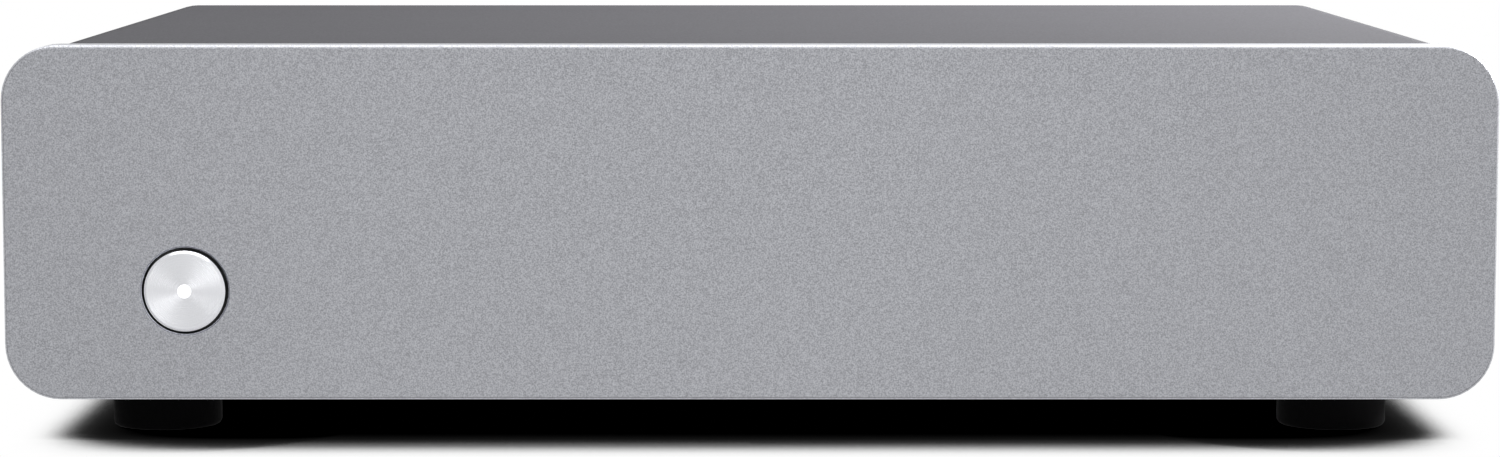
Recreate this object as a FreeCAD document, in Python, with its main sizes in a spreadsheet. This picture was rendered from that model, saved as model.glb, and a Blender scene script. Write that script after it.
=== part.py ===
import FreeCAD, Part
import math
import os
import re
import Sketcher
from FreeCAD import Placement, Rotation, Vector

# A half-width phono preamplifier. Millimetres, +Z up, the front faces -Y and +X is its right side
# seen from the front. The origin is on the floor, under the middle of the bounding box.

# Driving sizes

SIZES = {
    # front plate
    "fascia_width": 215.0,
    "fascia_height": 51.2,
    "fascia_thickness": 5.0,
    "fascia_corner": 8.0,
    "fascia_bevel": 0.4,
    "fascia_lift": 6.0,
    # whole depth
    "case_depth": 150.0,
    "button_proud": 0.6,
    "socket_reach": 8.4,
    # wrap-round cover
    "cover_inset": 0.7,
    "cover_wall": 1.2,
    "cover_lip": 27.0,
    "seam_gap": 0.3,
    # tray under everything
    "tray_sheet": 1.2,
    "tray_corner_gap": 0.8,
    "tray_side_height": 9.0,
    "tray_return": 9.0,
    "ear_width": 8.5,
    "ear_height": 42.0,
    # back plate
    "panel_sheet": 1.2,
    "panel_inset": 1.0,
    "panel_return": 7.0,
    "cutout_gap": 0.2,
    # feet
    "foot_radius": 8.0,
    "foot_well_radius": 3.6,
    "foot_well_depth": 3.4,
    "foot_edge": 0.8,
    "foot_side_margin": 20.3,
    "foot_end_margin": 17.0,
    # machine screws and nuts
    "screw_radius": 1.5,
    "screw_head_radius": 2.75,
    "screw_head_height": 2.0,
    "screw_slot_depth": 1.0,
    "screw_slot_width": 0.7,
    "screw_slot_length": 3.2,
    "screw_crown_share": 0.8,
    "screw_rim_share": 0.6,
    "screw_gap": 0.1,
    "nut_across_flats": 5.5,
    "nut_height": 2.4,
    "cover_screw_spread": 23.0,
    "cover_screw_length": 6.0,
    "foot_screw_length": 9.0,
    "fascia_screw_length": 5.0,
    "fascia_screw_margin": 49.5,
    "fascia_screw_rise": 17.0,
    "panel_screw_length": 8.0,
    "panel_screw_low": 12.0,
    "panel_screw_high": 37.0,
    # power button
    "button_from_left": 26.1,
    "button_from_base": 15.8,
    "button_radius": 5.85,
    "button_gap": 0.4,
    "button_bevel": 0.35,
    "button_hole_bevel": 0.3,
    "button_cap_length": 4.85,
    "button_cap_face": 1.4,
    "button_cap_bore": 4.6,
    "button_flange_radius": 7.0,
    "button_flange_height": 1.2,
    "button_stop_gap": 0.05,
    "button_side_gap": 0.4,
    "light_radius": 1.0,
    "light_collar_radius": 2.2,
    "light_collar_height": 1.0,
    "plunger_fit": 0.05,
    "plunger_disc_radius": 6.6,
    "plunger_disc_height": 1.35,
    "plunger_peg_size": 2.4,
    "plunger_peg_drop": 3.9,
    "spring_radius": 6.1,
    "spring_wire": 0.5,
    "spring_turns": 5.0,
    "spring_seat_radius": 5.6,
    "spring_seat_height": 0.8,
    "housing_width": 29.0,
    "housing_height": 18.0,
    "housing_depth": 10.0,
    "housing_corner": 2.0,
    "housing_screw_spread": 11.5,
    "housing_pocket_depth": 2.8,
    "housing_pocket_width": 14.0,
    "housing_pocket_height": 14.6,
    "small_screw_radius": 1.25,
    "small_screw_head_radius": 2.3,
    "small_screw_head_height": 1.6,
    "small_screw_bite": 3.5,
    "switch_size": 4.5,
    "switch_height": 2.6,
    "switch_drop": 4.2,
    "switch_well_depth": 2.3,
    "stem_radius": 1.0,
    "stem_proud": 1.1,
    "stem_buried": 1.3,
    "press_travel": 0.8,
    "led_width": 3.0,
    "led_height": 1.6,
    "led_depth": 1.2,
    "led_gap": 0.3,
    # circuit boards
    "board_thickness": 1.6,
    "board_back_gap": 1.6,
    "board_screw_inset": 4.5,
    "board_screw_length": 5.0,
    "board_hole_radius": 1.7,
    "standoff_height": 6.0,
    "standoff_across_flats": 5.5,
    "standoff_spigot_radius": 2.1,
    "boards_gap": 5.0,
    "main_board_margin": 6.7,
    "main_board_depth": 112.0,
    "power_board_margin": 5.7,
    "power_board_width": 50.0,
    "power_board_depth": 104.0,
    # phono sockets
    "socket_axis_height": 10.5,
    "jack_pitch": 19.0,
    "jack_block_width": 33.0,
    "jack_block_height": 21.0,
    "jack_block_depth": 12.0,
    "jack_boss_radius": 5.9,
    "jack_boss_gap": 0.1,
    "barrel_radius": 4.15,
    "barrel_bore": 3.45,
    "barrel_root": 4.0,
    "barrel_edge": 0.35,
    "barrel_collar_radius": 5.3,
    "barrel_collar_height": 0.9,
    "insulator_length": 8.2,
    "insulator_recess": 0.5,
    "insulator_bore": 1.75,
    "contact_radius": 2.5,
    "contact_bore": 2.1,
    "contact_length": 9.0,
    # balance control
    "balance_from_edge": 16.0,
    "pot_width": 13.0,
    "pot_height": 17.0,
    "pot_depth": 9.0,
    "bushing_radius": 3.5,
    "bushing_proud": 3.0,
    "balance_shaft_radius": 2.5,
    "balance_shaft_gap": 0.05,
    "balance_shaft_buried": 6.0,
    "balance_nut_across_flats": 10.0,
    "balance_nut_height": 2.0,
    "balance_knob_radius": 6.0,
    "balance_knob_length": 6.0,
    "balance_knob_grip": 4.4,
    "balance_knob_edge": 0.5,
    "balance_flute_radius": 0.6,
    "balance_pointer_width": 0.8,
    "balance_pointer_depth": 0.5,
    "end_clearance": 0.2,
    # ground terminal
    "ground_margin": 21.2,
    "ground_radius": 2.0,
    "ground_gap": 0.06,
    "ground_head_flats": 7.0,
    "ground_head_height": 2.8,
    "ground_lock_height": 2.0,
    "ground_washer_radius": 4.5,
    "ground_washer_height": 0.8,
    "ground_nut_radius": 5.0,
    "ground_nut_height": 4.6,
    "ground_knurl_depth": 0.35,
    "ground_run_gap": 0.05,
    "tag_thickness": 0.5,
    "tag_width": 6.0,
    "tag_foot": 8.0,
    # mains inlet
    "inlet_margin": 26.7,
    "inlet_width": 23.0,
    "inlet_height": 17.5,
    "inlet_depth": 20.0,
    "inlet_nose_width": 21.2,
    "inlet_nose_height": 12.4,
    "inlet_nose_proud": 1.0,
    "inlet_recess_radius": 4.4,
    "inlet_recess_centre": 4.0,
    "inlet_recess_depth": 12.0,
    "inlet_pin_spread": 4.3,
    "inlet_pin_radius": 1.2,
    "inlet_pin_tail": 2.5,
    "inlet_pin_shy": 1.0,
    # parts on the power board, measured from its back left corner
    "fuse_right": 38.0,
    "fuse_forward": 14.0,
    "fuse_radius": 2.6,
    "fuse_length": 20.0,
    "clip_wall": 0.4,
    "clip_width": 5.0,
    "clip_height": 4.2,
    "fuse_cap_wall": 0.2,
    "choke_right": 16.0,
    "choke_forward": 34.0,
    "choke_ring_radius": 6.5,
    "choke_wire_radius": 3.0,
    "filter_right": 38.0,
    "filter_forward": 41.0,
    "filter_width": 8.0,
    "filter_depth": 18.0,
    "filter_height": 14.0,
    "bulk_right": 37.0,
    "bulk_forward": 62.0,
    "bulk_radius": 8.0,
    "bulk_height": 22.0,
    "can_groove_height": 1.2,
    "can_groove_depth": 0.4,
    "transformer_right": 14.5,
    "transformer_forward": 68.0,
    "transformer_width": 22.0,
    "transformer_height": 18.0,
    "transformer_core_depth": 10.0,
    "transformer_leg": 6.0,
    "transformer_yoke": 3.0,
    "winding_depth": 18.0,
    "chip_right": 34.0,
    "supply_caps_right": 10.0,
    "supply_caps_forward": 88.0,
    "supply_caps_pitch": 10.5,
    "supply_cap_radius": 4.0,
    "supply_cap_height": 14.0,
    "sink_right": 44.0,
    "sink_forward": 89.0,
    "sink_width": 14.0,
    "sink_height": 20.0,
    "sink_plate": 2.0,
    "sink_fin": 1.2,
    "sink_fin_reach": 6.0,
    # parts on the main board, measured from its back left corner
    "chip_body_width": 9.5,
    "chip_body_depth": 6.4,
    "chip_body_height": 3.6,
    "chip_leg_reach": 0.8,
    "chip_leg_height": 1.8,
    "chip_leg_inset": 0.8,
    "chip_leg_pitch": 2.4,
    "chip_leg_width": 0.6,
    "amplifier_right": 30.0,
    "amplifier_forward": 52.0,
    "amplifier_pitch": 24.0,
    "film_right": 24.0,
    "film_forward": 36.0,
    "film_pitch_x": 12.0,
    "film_pitch_y": 7.5,
    "film_width": 7.2,
    "film_depth": 4.5,
    "film_height": 9.0,
    "signal_right": 24.0,
    "signal_forward": 66.0,
    "signal_pitch": 12.0,
    "signal_radius": 3.15,
    "signal_height": 11.0,
    "smoothing_right": 12.0,
    "smoothing_forward": 96.0,
    "smoothing_pitch": 15.5,
    "smoothing_radius": 6.3,
    "smoothing_height": 20.0,
    "resistor_right": 20.0,
    "resistor_forward": 76.0,
    "resistor_pitch_x": 7.0,
    "resistor_pitch_y": 4.0,
    "resistor_width": 3.2,
    "resistor_depth": 1.6,
    "resistor_height": 0.6,
    "relay_right": 36.0,
    "relay_forward": 23.0,
    "relay_pitch": 44.0,
    "relay_width": 20.0,
    "relay_depth": 10.0,
    "relay_height": 10.0,
    "regulator_from_right": 38.0,
    "regulator_forward": 98.0,
    "regulator_pitch": 15.0,
    "regulator_width": 10.0,
    "regulator_body_depth": 4.4,
    "regulator_body_height": 9.0,
    "regulator_tab_height": 15.5,
    "regulator_tab_depth": 1.3,
    "regulator_lift": 4.0,
    "regulator_leg_width": 6.0,
    "regulator_leg_depth": 0.6,
    # leads and their headers
    "header_width": 8.0,
    "header_depth": 5.0,
    "header_height": 8.0,
    "supply_header_inset": 5.0,
    "supply_lead_width": 6.0,
    "supply_lead_thickness": 1.2,
    "supply_lead_rise": 12.0,
    "supply_lead_bend": 3.0,
    "switch_lead_width": 5.0,
    "switch_lead_thickness": 1.0,
    "switch_lead_stand": 6.0,
    "switch_header_right": 14.0,
    "header_edge_gap": 1.0,
}

# Places and sizes that follow from the driving ones

FOLLOWING = {
    "front_y": "button_proud - (button_proud + case_depth + socket_reach) / 2",
    "button_face_y": "front_y - button_proud",
    "fascia_back_y": "front_y + fascia_thickness",
    "case_back_y": "front_y + case_depth",
    "panel_face_y": "case_back_y - panel_inset",
    "panel_inner_y": "panel_face_y - panel_sheet",
    "socket_tip_y": "case_back_y + socket_reach",
    "fascia_top_z": "fascia_lift + fascia_height",
    "cover_half": "fascia_width / 2 - cover_inset",
    "cover_low_z": "fascia_lift + cover_inset",
    "cover_top_z": "fascia_top_z - cover_inset",
    "cover_corner": "fascia_corner - cover_inset",
    "inside_half": "cover_half - cover_wall",
    "inside_corner": "cover_corner - cover_wall",
    "inside_top_z": "cover_top_z - cover_wall",
    "lip_edge_x": "cover_half - cover_lip",
    "tray_low_z": "cover_low_z + cover_wall",
    "tray_top_z": "tray_low_z + tray_sheet",
    "tray_half": "cover_half - cover_corner - tray_corner_gap",
    "tray_lid_z": "inside_top_z - seam_gap",
    "flange_back_y": "fascia_back_y + tray_sheet",
    "foot_x": "cover_half - foot_side_margin",
    "foot_front_y": "front_y + foot_end_margin",
    "foot_back_y": "case_back_y - foot_end_margin",
    "fascia_screw_x": "fascia_width / 2 - fascia_screw_margin",
    "middle_y": "(front_y + case_back_y) / 2",
    "middle_z": "fascia_lift + fascia_height / 2",
    "button_x": "button_from_left - fascia_width / 2",
    "button_z": "fascia_lift + button_from_base",
    "button_hole": "button_radius + button_gap",
    "button_pocket": "button_flange_radius + button_side_gap",
    "button_pocket_y": "button_face_y + button_cap_length - button_flange_height - button_stop_gap",
    "housing_back_y": "fascia_back_y + housing_depth",
    "switch_board_back_y": "housing_back_y + board_thickness",
    "switch_face_y": "housing_back_y - switch_height",
    "switch_z": "button_z - switch_drop",
    "stem_tip_y": "switch_face_y - stem_proud",
    "light_length": "housing_back_y - led_depth - led_gap - press_travel - button_face_y",
    "plunger_back": "button_cap_length + plunger_disc_height",
    "spring_seat_y": "housing_back_y - housing_pocket_depth - spring_seat_height",
    "spring_length": "spring_seat_y - button_face_y - plunger_back",
    "board_low_z": "tray_top_z + standoff_height",
    "board_top_z": "board_low_z + board_thickness",
    "board_back_y": "panel_inner_y - board_back_gap",
    "power_board_left": "power_board_margin - tray_half",
    "power_board_right": "power_board_left + power_board_width",
    "power_board_front": "board_back_y - power_board_depth",
    "main_board_left": "power_board_right + boards_gap",
    "main_board_right": "tray_half - main_board_margin",
    "main_board_front": "board_back_y - main_board_depth",
    "balance_x": "main_board_left + balance_from_edge",
    "ground_x": "tray_half - ground_margin",
    "fittings_room": "ground_x - ground_washer_radius - balance_x - pot_width / 2",
    "fittings_gap": "(fittings_room - 2 * jack_block_width) / 3",
    "output_pair_x": "balance_x + pot_width / 2 + fittings_gap + jack_block_width / 2",
    "input_pair_x": "output_pair_x + jack_block_width + fittings_gap",
    "inlet_x": "inlet_margin - tray_half",
    "chip_forward": "(bulk_forward + bulk_radius + supply_caps_forward - supply_cap_radius) / 2",
    "regulator_right": "main_board_right - main_board_left - regulator_from_right",
    "socket_z": "board_top_z + socket_axis_height",
    "barrel_back_y": "panel_inner_y - barrel_root",
    "contact_back_y": "socket_tip_y - insulator_recess - insulator_length - end_clearance - contact_length",
    "ear_inner_x": "tray_half - ear_width",
    "ear_screw_x": "tray_half - ear_width / 2",
    "ear_low_screw_z": "tray_low_z + panel_screw_low",
    "ear_high_screw_z": "tray_low_z + panel_screw_high",
    "bushing_end_y": "panel_face_y + bushing_proud",
    "knob_tip_y": "socket_tip_y - end_clearance",
    "knob_back_y": "knob_tip_y - balance_knob_length",
    "ground_end_y": "socket_tip_y - end_clearance",
    "ground_lock_end_y": "panel_face_y + ground_lock_height",
    "ground_washer_y": "ground_lock_end_y + ground_run_gap",
    "ground_nut_y": "ground_washer_y + ground_washer_height",
    "inlet_face_y": "panel_face_y + inlet_nose_proud",
    "inlet_back_y": "panel_inner_y - inlet_depth",
    "supply_forward": "(bulk_forward + bulk_radius + sink_forward - sink_width / 2) / 2",
    "lead_y": "board_back_y - supply_forward",
}

OWNER = {name: "Sizes." for name in SIZES}
OWNER.update({name: "Places." for name in FOLLOWING})

document = FreeCAD.newDocument("PhonoPreamplifier")
sizes = document.addObject("Spreadsheet::Sheet", "Sizes")
places = document.addObject("Spreadsheet::Sheet", "Places")
pieces = []


def bound(text):
    """The expression with each size name led by the sheet that holds it."""
    return re.sub(r"[a-z_]+", lambda word: OWNER.get(word.group(), "") + word.group(), text)


def value(text):
    """The number that an expression gives now."""
    return float(sizes.evalExpression(bound(text)))


def fill_sheets():
    for row, (name, size) in enumerate(SIZES.items(), 1):
        sizes.set(f"A{row}", name)
        sizes.set(f"B{row}", str(size))
        sizes.setAlias(f"B{row}", name)
    for row, name in enumerate(FOLLOWING, 1):
        places.set(f"A{row}", name)
        places.setAlias(f"B{row}", name)
    for row, rule in enumerate(FOLLOWING.values(), 1):
        local = re.sub(r"Places\.", "", bound(rule))
        places.set(f"B{row}", f"={local}")
    document.recompute()


# Drawing helpers

def new_body(label):
    """A piece of the assembly, written out under its label."""
    body = document.addObject("PartDesign::Body", label)
    body.Label = label
    pieces.append(body)
    return body


def pattern_body(label):
    """A piece that is only copied and isn't written out itself."""
    body = document.addObject("PartDesign::Body", label)
    body.Label = label
    return body


def origin_plane(body, role):
    return [feature for feature in body.Origin.OriginFeatures if feature.Role == role][0]


def draw(body, role, height="0"):
    """An empty sketch on an origin plane, moved along the plane's own world axis."""
    sketch = body.newObject("Sketcher::SketchObject", "Sketch")
    sketch.AttachmentSupport = [(origin_plane(body, role), "")]
    sketch.MapMode = "FlatFace"
    sign = "-" if role == "XZ_Plane" else ""
    sketch.setExpression("AttachmentOffset.Base.z", bound(f"{sign}({height})"))
    return sketch


def hold(sketch, kind, geometry, point, size):
    """Fix one coordinate of a point from the sketch's origin."""
    number = sketch.addConstraint(Sketcher.Constraint(kind, -1, 1, geometry, point, value(size)))
    sketch.setExpression(f"Constraints[{number}]", bound(size))


def outline(sketch, corners):
    """A closed outline of straight lines through (across, up) corners."""
    spots = [Vector(value(across), value(up), 0) for across, up in corners]
    first = sketch.GeometryCount
    count = len(spots)
    for index in range(count):
        line = Part.LineSegment(spots[index], spots[(index + 1) % count])
        sketch.addGeometry(line, False)
    for index in range(count):
        following = first + (index + 1) % count
        sketch.addConstraint(Sketcher.Constraint("Coincident", first + index, 2, following, 1))
    for index, (across, up) in enumerate(corners):
        hold(sketch, "DistanceX", first + index, 1, across)
        hold(sketch, "DistanceY", first + index, 1, up)
    return sketch


def rectangle(sketch, left, right, low, high):
    return outline(sketch, [(left, low), (right, low), (right, high), (left, high)])


def rounded_rectangle(sketch, left, right, low, high, radius):
    """A rectangle of straight sides and quarter-circle corners, counter-clockwise from below."""
    west, east = value(left), value(right)
    south, north = value(low), value(high)
    bend = value(radius)
    centres = [(east - bend, south + bend), (east - bend, north - bend),
               (west + bend, north - bend), (west + bend, south + bend)]
    sides = [((west + bend, south), (east - bend, south)), ((east, south + bend), (east, north - bend)),
             ((east - bend, north), (west + bend, north)), ((west, north - bend), (west, south + bend))]
    first = sketch.GeometryCount
    for corner in range(4):
        start, end = sides[corner]
        sketch.addGeometry(Part.LineSegment(Vector(*start, 0), Vector(*end, 0)), False)
        ring = Part.Circle(Vector(*centres[corner], 0), Vector(0, 0, 1), bend)
        turn = math.radians(90 * corner)
        sketch.addGeometry(Part.ArcOfCircle(ring, turn - math.pi / 2, turn), False)
    for step in range(8):
        following = first + (step + 1) % 8
        sketch.addConstraint(Sketcher.Constraint("Tangent", first + step, 2, following, 1))
    for side, direction in ((0, "Horizontal"), (2, "Vertical"), (4, "Horizontal"), (6, "Vertical")):
        sketch.addConstraint(Sketcher.Constraint(direction, first + side))
    for corner in (3, 5, 7):
        sketch.addConstraint(Sketcher.Constraint("Equal", first + 1, first + corner))
    limit = sketch.addConstraint(Sketcher.Constraint("Radius", first + 1, bend))
    sketch.setExpression(f"Constraints[{limit}]", bound(radius))
    hold(sketch, "DistanceY", first, 1, low)
    hold(sketch, "DistanceX", first + 2, 1, right)
    hold(sketch, "DistanceY", first + 4, 1, high)
    hold(sketch, "DistanceX", first + 6, 1, left)
    return sketch


def circle(sketch, across, up, radius):
    number = sketch.GeometryCount
    centre = Vector(value(across), value(up), 0)
    sketch.addGeometry(Part.Circle(centre, Vector(0, 0, 1), value(radius)), False)
    hold(sketch, "DistanceX", number, 3, across)
    hold(sketch, "DistanceY", number, 3, up)
    limit = sketch.addConstraint(Sketcher.Constraint("Radius", number, value(radius)))
    sketch.setExpression(f"Constraints[{limit}]", bound(radius))
    return sketch


def hexagon(sketch, across_flats):
    """A hexagon about the sketch's origin, with a corner on its first axis."""
    corners = []
    for step in range(6):
        turn = 60 * step
        across = f"({across_flats}) / sqrt(3) * cos({turn})"
        up = f"({across_flats}) / sqrt(3) * sin({turn})"
        corners.append((across, up))
    return outline(sketch, corners)


def pad(sketch, length):
    """Material from the sketch towards the positive world axis."""
    body = sketch.getParentGeoFeatureGroup()
    feature = body.newObject("PartDesign::Pad", "Pad")
    feature.Profile = sketch
    feature.setExpression("Length", bound(length))
    feature.Reversed = sketch.AttachmentSupport[0][0].Role == "XZ_Plane"
    sketch.Visibility = False
    return feature


def cut(sketch, length):
    """A pocket from the sketch towards the positive world axis, checked to remove something."""
    body = sketch.getParentGeoFeatureGroup()
    document.recompute()
    before = body.Shape.Volume
    feature = body.newObject("PartDesign::Pocket", "Pocket")
    feature.Profile = sketch
    feature.setExpression("Length", bound(length))
    feature.Reversed = sketch.AttachmentSupport[0][0].Role != "XZ_Plane"
    document.recompute()
    if body.Shape.Volume >= before - 1e-6:
        raise RuntimeError(f"{body.Label}: a pocket cuts nothing")
    return feature


def edges_where(body, test):
    """The names of the body's edges that pass a test."""
    document.recompute()
    return [f"Edge{number}" for number, edge in enumerate(body.Shape.Edges, 1) if test(edge)]


def runs_along(edge, axis):
    if edge.Curve.TypeId != "Part::GeomLine":
        return False
    return abs(edge.Curve.Direction.dot(axis)) > 0.999


def dress(body, kind, size_name, size, test):
    """A fillet or chamfer on the edges that pass a test."""
    names = edges_where(body, test)
    base = body.Tip
    feature = body.newObject(f"PartDesign::{kind}", kind)
    feature.Base = (base, names)
    feature.setExpression(size_name, bound(size))
    return feature


def fillet(body, radius, test):
    return dress(body, "Fillet", "Radius", radius, test)


def chamfer(body, size, test):
    return dress(body, "Chamfer", "Size", size, test)


def turned(body, profile):
    """A solid turned about the body's own Z axis from (radius, height) corners."""
    sketch = outline(draw(body, "XZ_Plane"), profile)
    feature = body.newObject("PartDesign::Revolution", "Turning")
    feature.Profile = sketch
    feature.ReferenceAxis = (sketch, ["V_Axis"])
    feature.Angle = 360
    sketch.Visibility = False
    return feature


def place(thing, across="0", back="0", up="0", turn=None):
    """Put a piece at a place given by expressions, after an optional turn."""
    thing.Placement = Placement(Vector(0, 0, 0), turn or Rotation())
    for letter, size in (("x", across), ("y", back), ("z", up)):
        thing.setExpression(f"Placement.Base.{letter}", bound(size))


# Turns that lay a piece's own Z axis along a world axis
TO_BACK = Rotation(Vector(1, 0, 0), -90)
TO_FRONT = Rotation(Vector(1, 0, 0), 90)
UPSIDE_DOWN = Rotation(Vector(1, 0, 0), 180)


def group(label, original, spots, turn=None):
    """One named set of equal, separate solids. A spot may end in a turn of its own."""
    copies = []
    for across, back, up, *own_turn in spots:
        copy = document.addObject("App::Link", "Copy")
        copy.LinkedObject = original
        copy.LinkTransform = False
        place(copy, across, back, up, own_turn[0] if own_turn else turn)
        copies.append(copy)
    compound = document.addObject("Part::Compound", label)
    compound.Label = label
    compound.Links = copies
    pieces.append(compound)
    return compound


def both_sides(size):
    return [f"-({size})", size]


def along_y(edge):
    return runs_along(edge, Vector(0, 1, 0))


def in_plane_y(edge, size):
    """Whether an edge lies flat at one depth."""
    level = value(size)
    return all(abs(vertex.Point.y - level) < 1e-3 for vertex in edge.Vertexes)


# Case

def front_fascia():
    body = new_body("front_fascia")
    face = draw(body, "XZ_Plane", "front_y")
    rounded_rectangle(face, "-fascia_width / 2", "fascia_width / 2", "fascia_lift", "fascia_top_z",
                      "fascia_corner")
    pad(face, "fascia_thickness")
    chamfer(body, "fascia_bevel", lambda edge: in_plane_y(edge, "front_y"))
    hole = circle(draw(body, "XZ_Plane", "front_y"), "button_x", "button_z", "button_hole")
    cut(hole, "fascia_thickness")
    chamfer(body, "button_hole_bevel", is_button_mouth)
    pocket = circle(draw(body, "XZ_Plane", "button_pocket_y"), "button_x", "button_z", "button_pocket")
    cut(pocket, "fascia_back_y - button_pocket_y")
    fascia_bite = "fascia_screw_length - tray_sheet + end_clearance"
    threads = draw(body, "XZ_Plane", f"fascia_back_y - ({fascia_bite})")
    for across, up in fascia_screw_spots():
        circle(threads, across, up, "screw_radius")
    cut(threads, fascia_bite)
    small_bite = "small_screw_bite + end_clearance"
    small_threads = draw(body, "XZ_Plane", f"fascia_back_y - ({small_bite})")
    for side in both_sides("housing_screw_spread"):
        circle(small_threads, f"button_x + {side}", "button_z", "small_screw_radius")
    cut(small_threads, small_bite)


def is_button_mouth(edge):
    if edge.Curve.TypeId != "Part::GeomCircle":
        return False
    if abs(edge.Curve.Radius - value("button_hole")) > 1e-3:
        return False
    return in_plane_y(edge, "front_y")


def fascia_screw_spots():
    spots = []
    for across in both_sides("fascia_screw_x"):
        for rise in both_sides("fascia_screw_rise"):
            spots.append((across, f"middle_z + {rise}"))
    return spots


def foot_spots():
    spots = []
    for across in both_sides("foot_x"):
        for back in ("foot_front_y", "foot_back_y"):
            spots.append((across, back))
    return spots


def cover_screw_spots():
    spots = []
    for across in both_sides("foot_x"):
        for away in both_sides("cover_screw_spread / 2"):
            spots.append((across, f"middle_y + {away}"))
    return spots


def top_cover():
    body = new_body("top_cover")
    length = "case_back_y - fascia_back_y"
    outside = draw(body, "XZ_Plane", "fascia_back_y")
    rounded_rectangle(outside, "-cover_half", "cover_half", "cover_low_z", "cover_top_z", "cover_corner")
    rounded_rectangle(outside, "-inside_half", "inside_half", "tray_low_z", "inside_top_z", "inside_corner")
    pad(outside, length)
    opening = draw(body, "XZ_Plane", "fascia_back_y")
    rectangle(opening, "-lip_edge_x", "lip_edge_x", "cover_low_z - seam_gap", "tray_low_z + seam_gap")
    cut(opening, length)
    holes = draw(body, "XY_Plane", "cover_low_z")
    for across, back in foot_spots() + cover_screw_spots():
        circle(holes, across, back, "screw_radius + screw_gap")
    cut(holes, "cover_wall")


def chassis_tray():
    body = new_body("chassis_tray")
    plate = draw(body, "XY_Plane", "tray_low_z")
    rectangle(plate, "-tray_half", "tray_half", "fascia_back_y", "panel_inner_y")
    pad(plate, "tray_sheet")
    flange = draw(body, "XZ_Plane", "fascia_back_y")
    rectangle(flange, "-tray_half", "tray_half", "tray_low_z", "tray_lid_z")
    pad(flange, "tray_sheet")
    lid = draw(body, "XY_Plane", "tray_lid_z - tray_sheet")
    rectangle(lid, "-tray_half", "tray_half", "fascia_back_y", "fascia_back_y + tray_return")
    pad(lid, "tray_sheet")
    for start in ("-tray_half", "tray_half - tray_sheet"):
        wall = draw(body, "YZ_Plane", start)
        rectangle(wall, "fascia_back_y", "panel_inner_y", "tray_low_z", "tray_low_z + tray_side_height")
        pad(wall, "tray_sheet")
    for left, right in (("-tray_half", "-ear_inner_x"), ("ear_inner_x", "tray_half")):
        ear = draw(body, "XZ_Plane", "panel_inner_y - tray_sheet")
        rectangle(ear, left, right, "tray_low_z", "tray_low_z + ear_height")
        pad(ear, "tray_sheet")
    window = draw(body, "XZ_Plane", "fascia_back_y")
    reach = "(housing_width / 2 + cutout_gap)"
    rise = "(housing_height / 2 + cutout_gap)"
    rectangle(window, f"button_x - {reach}", f"button_x + {reach}",
              f"button_z - {rise}", f"button_z + {rise}")
    cut(window, "tray_sheet")
    flange_holes = draw(body, "XZ_Plane", "fascia_back_y")
    for across, up in fascia_screw_spots():
        circle(flange_holes, across, up, "screw_radius + screw_gap")
    cut(flange_holes, "tray_sheet")
    plate_holes = draw(body, "XY_Plane", "tray_low_z")
    for across, back in foot_spots() + cover_screw_spots():
        circle(plate_holes, across, back, "screw_radius + screw_gap")
    for across, back in board_screw_spots():
        circle(plate_holes, across, back, "standoff_spigot_radius")
    cut(plate_holes, "tray_sheet")
    ear_holes = draw(body, "XZ_Plane", "panel_inner_y - tray_sheet")
    for across, up in ear_screw_spots():
        circle(ear_holes, across, up, "screw_radius")
    cut(ear_holes, "tray_sheet")


def ear_screw_spots():
    spots = []
    for across in both_sides("ear_screw_x"):
        for up in ("ear_low_screw_z", "ear_high_screw_z"):
            spots.append((across, up))
    return spots


def jack_spots():
    spots = []
    for pair in ("input_pair_x", "output_pair_x"):
        for side in both_sides("jack_pitch / 2"):
            spots.append((f"{pair} + {side}", "socket_z"))
    return spots


def rear_panel():
    body = new_body("rear_panel")
    sheet = draw(body, "XZ_Plane", "panel_inner_y")
    reach = "inside_half - seam_gap"
    rounded_rectangle(sheet, f"-({reach})", reach, "tray_low_z + seam_gap", "inside_top_z - seam_gap",
                      "inside_corner - seam_gap")
    pad(sheet, "panel_sheet")
    lid = draw(body, "XY_Plane", "inside_top_z - seam_gap - panel_sheet")
    rectangle(lid, "-tray_half", "tray_half", "panel_inner_y - panel_return", "panel_inner_y")
    pad(lid, "panel_sheet")
    inlet = draw(body, "XZ_Plane", "panel_inner_y")
    half_wide = "inlet_nose_width / 2 + cutout_gap"
    half_tall = "inlet_nose_height / 2 + cutout_gap"
    rectangle(inlet, f"inlet_x - ({half_wide})", f"inlet_x + {half_wide}",
              f"socket_z - ({half_tall})", f"socket_z + {half_tall}")
    cut(inlet, "panel_sheet")
    holes = draw(body, "XZ_Plane", "panel_inner_y")
    for across, up in jack_spots():
        circle(holes, across, up, "jack_boss_radius + jack_boss_gap")
    circle(holes, "balance_x", "socket_z", "bushing_radius + screw_gap")
    circle(holes, "ground_x", "socket_z", "ground_radius + screw_gap")
    for across, up in ear_screw_spots() + jack_screw_spots():
        circle(holes, across, up, "screw_radius + screw_gap")
    cut(holes, "panel_sheet")


def jack_screw_spots():
    return [("input_pair_x", "socket_z"), ("output_pair_x", "socket_z")]


def feet():
    foot = pattern_body("foot_shape")
    hole = "screw_radius + screw_gap"
    turned(foot, [(hole, "foot_well_depth"), ("foot_well_radius", "foot_well_depth"),
                  ("foot_well_radius", "0"), ("foot_radius - foot_edge", "0"),
                  ("foot_radius", "foot_edge"), ("foot_radius", "cover_low_z"), (hole, "cover_low_z")])
    group("feet", foot, [(across, back, "0") for across, back in foot_spots()])


# Fasteners

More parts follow.
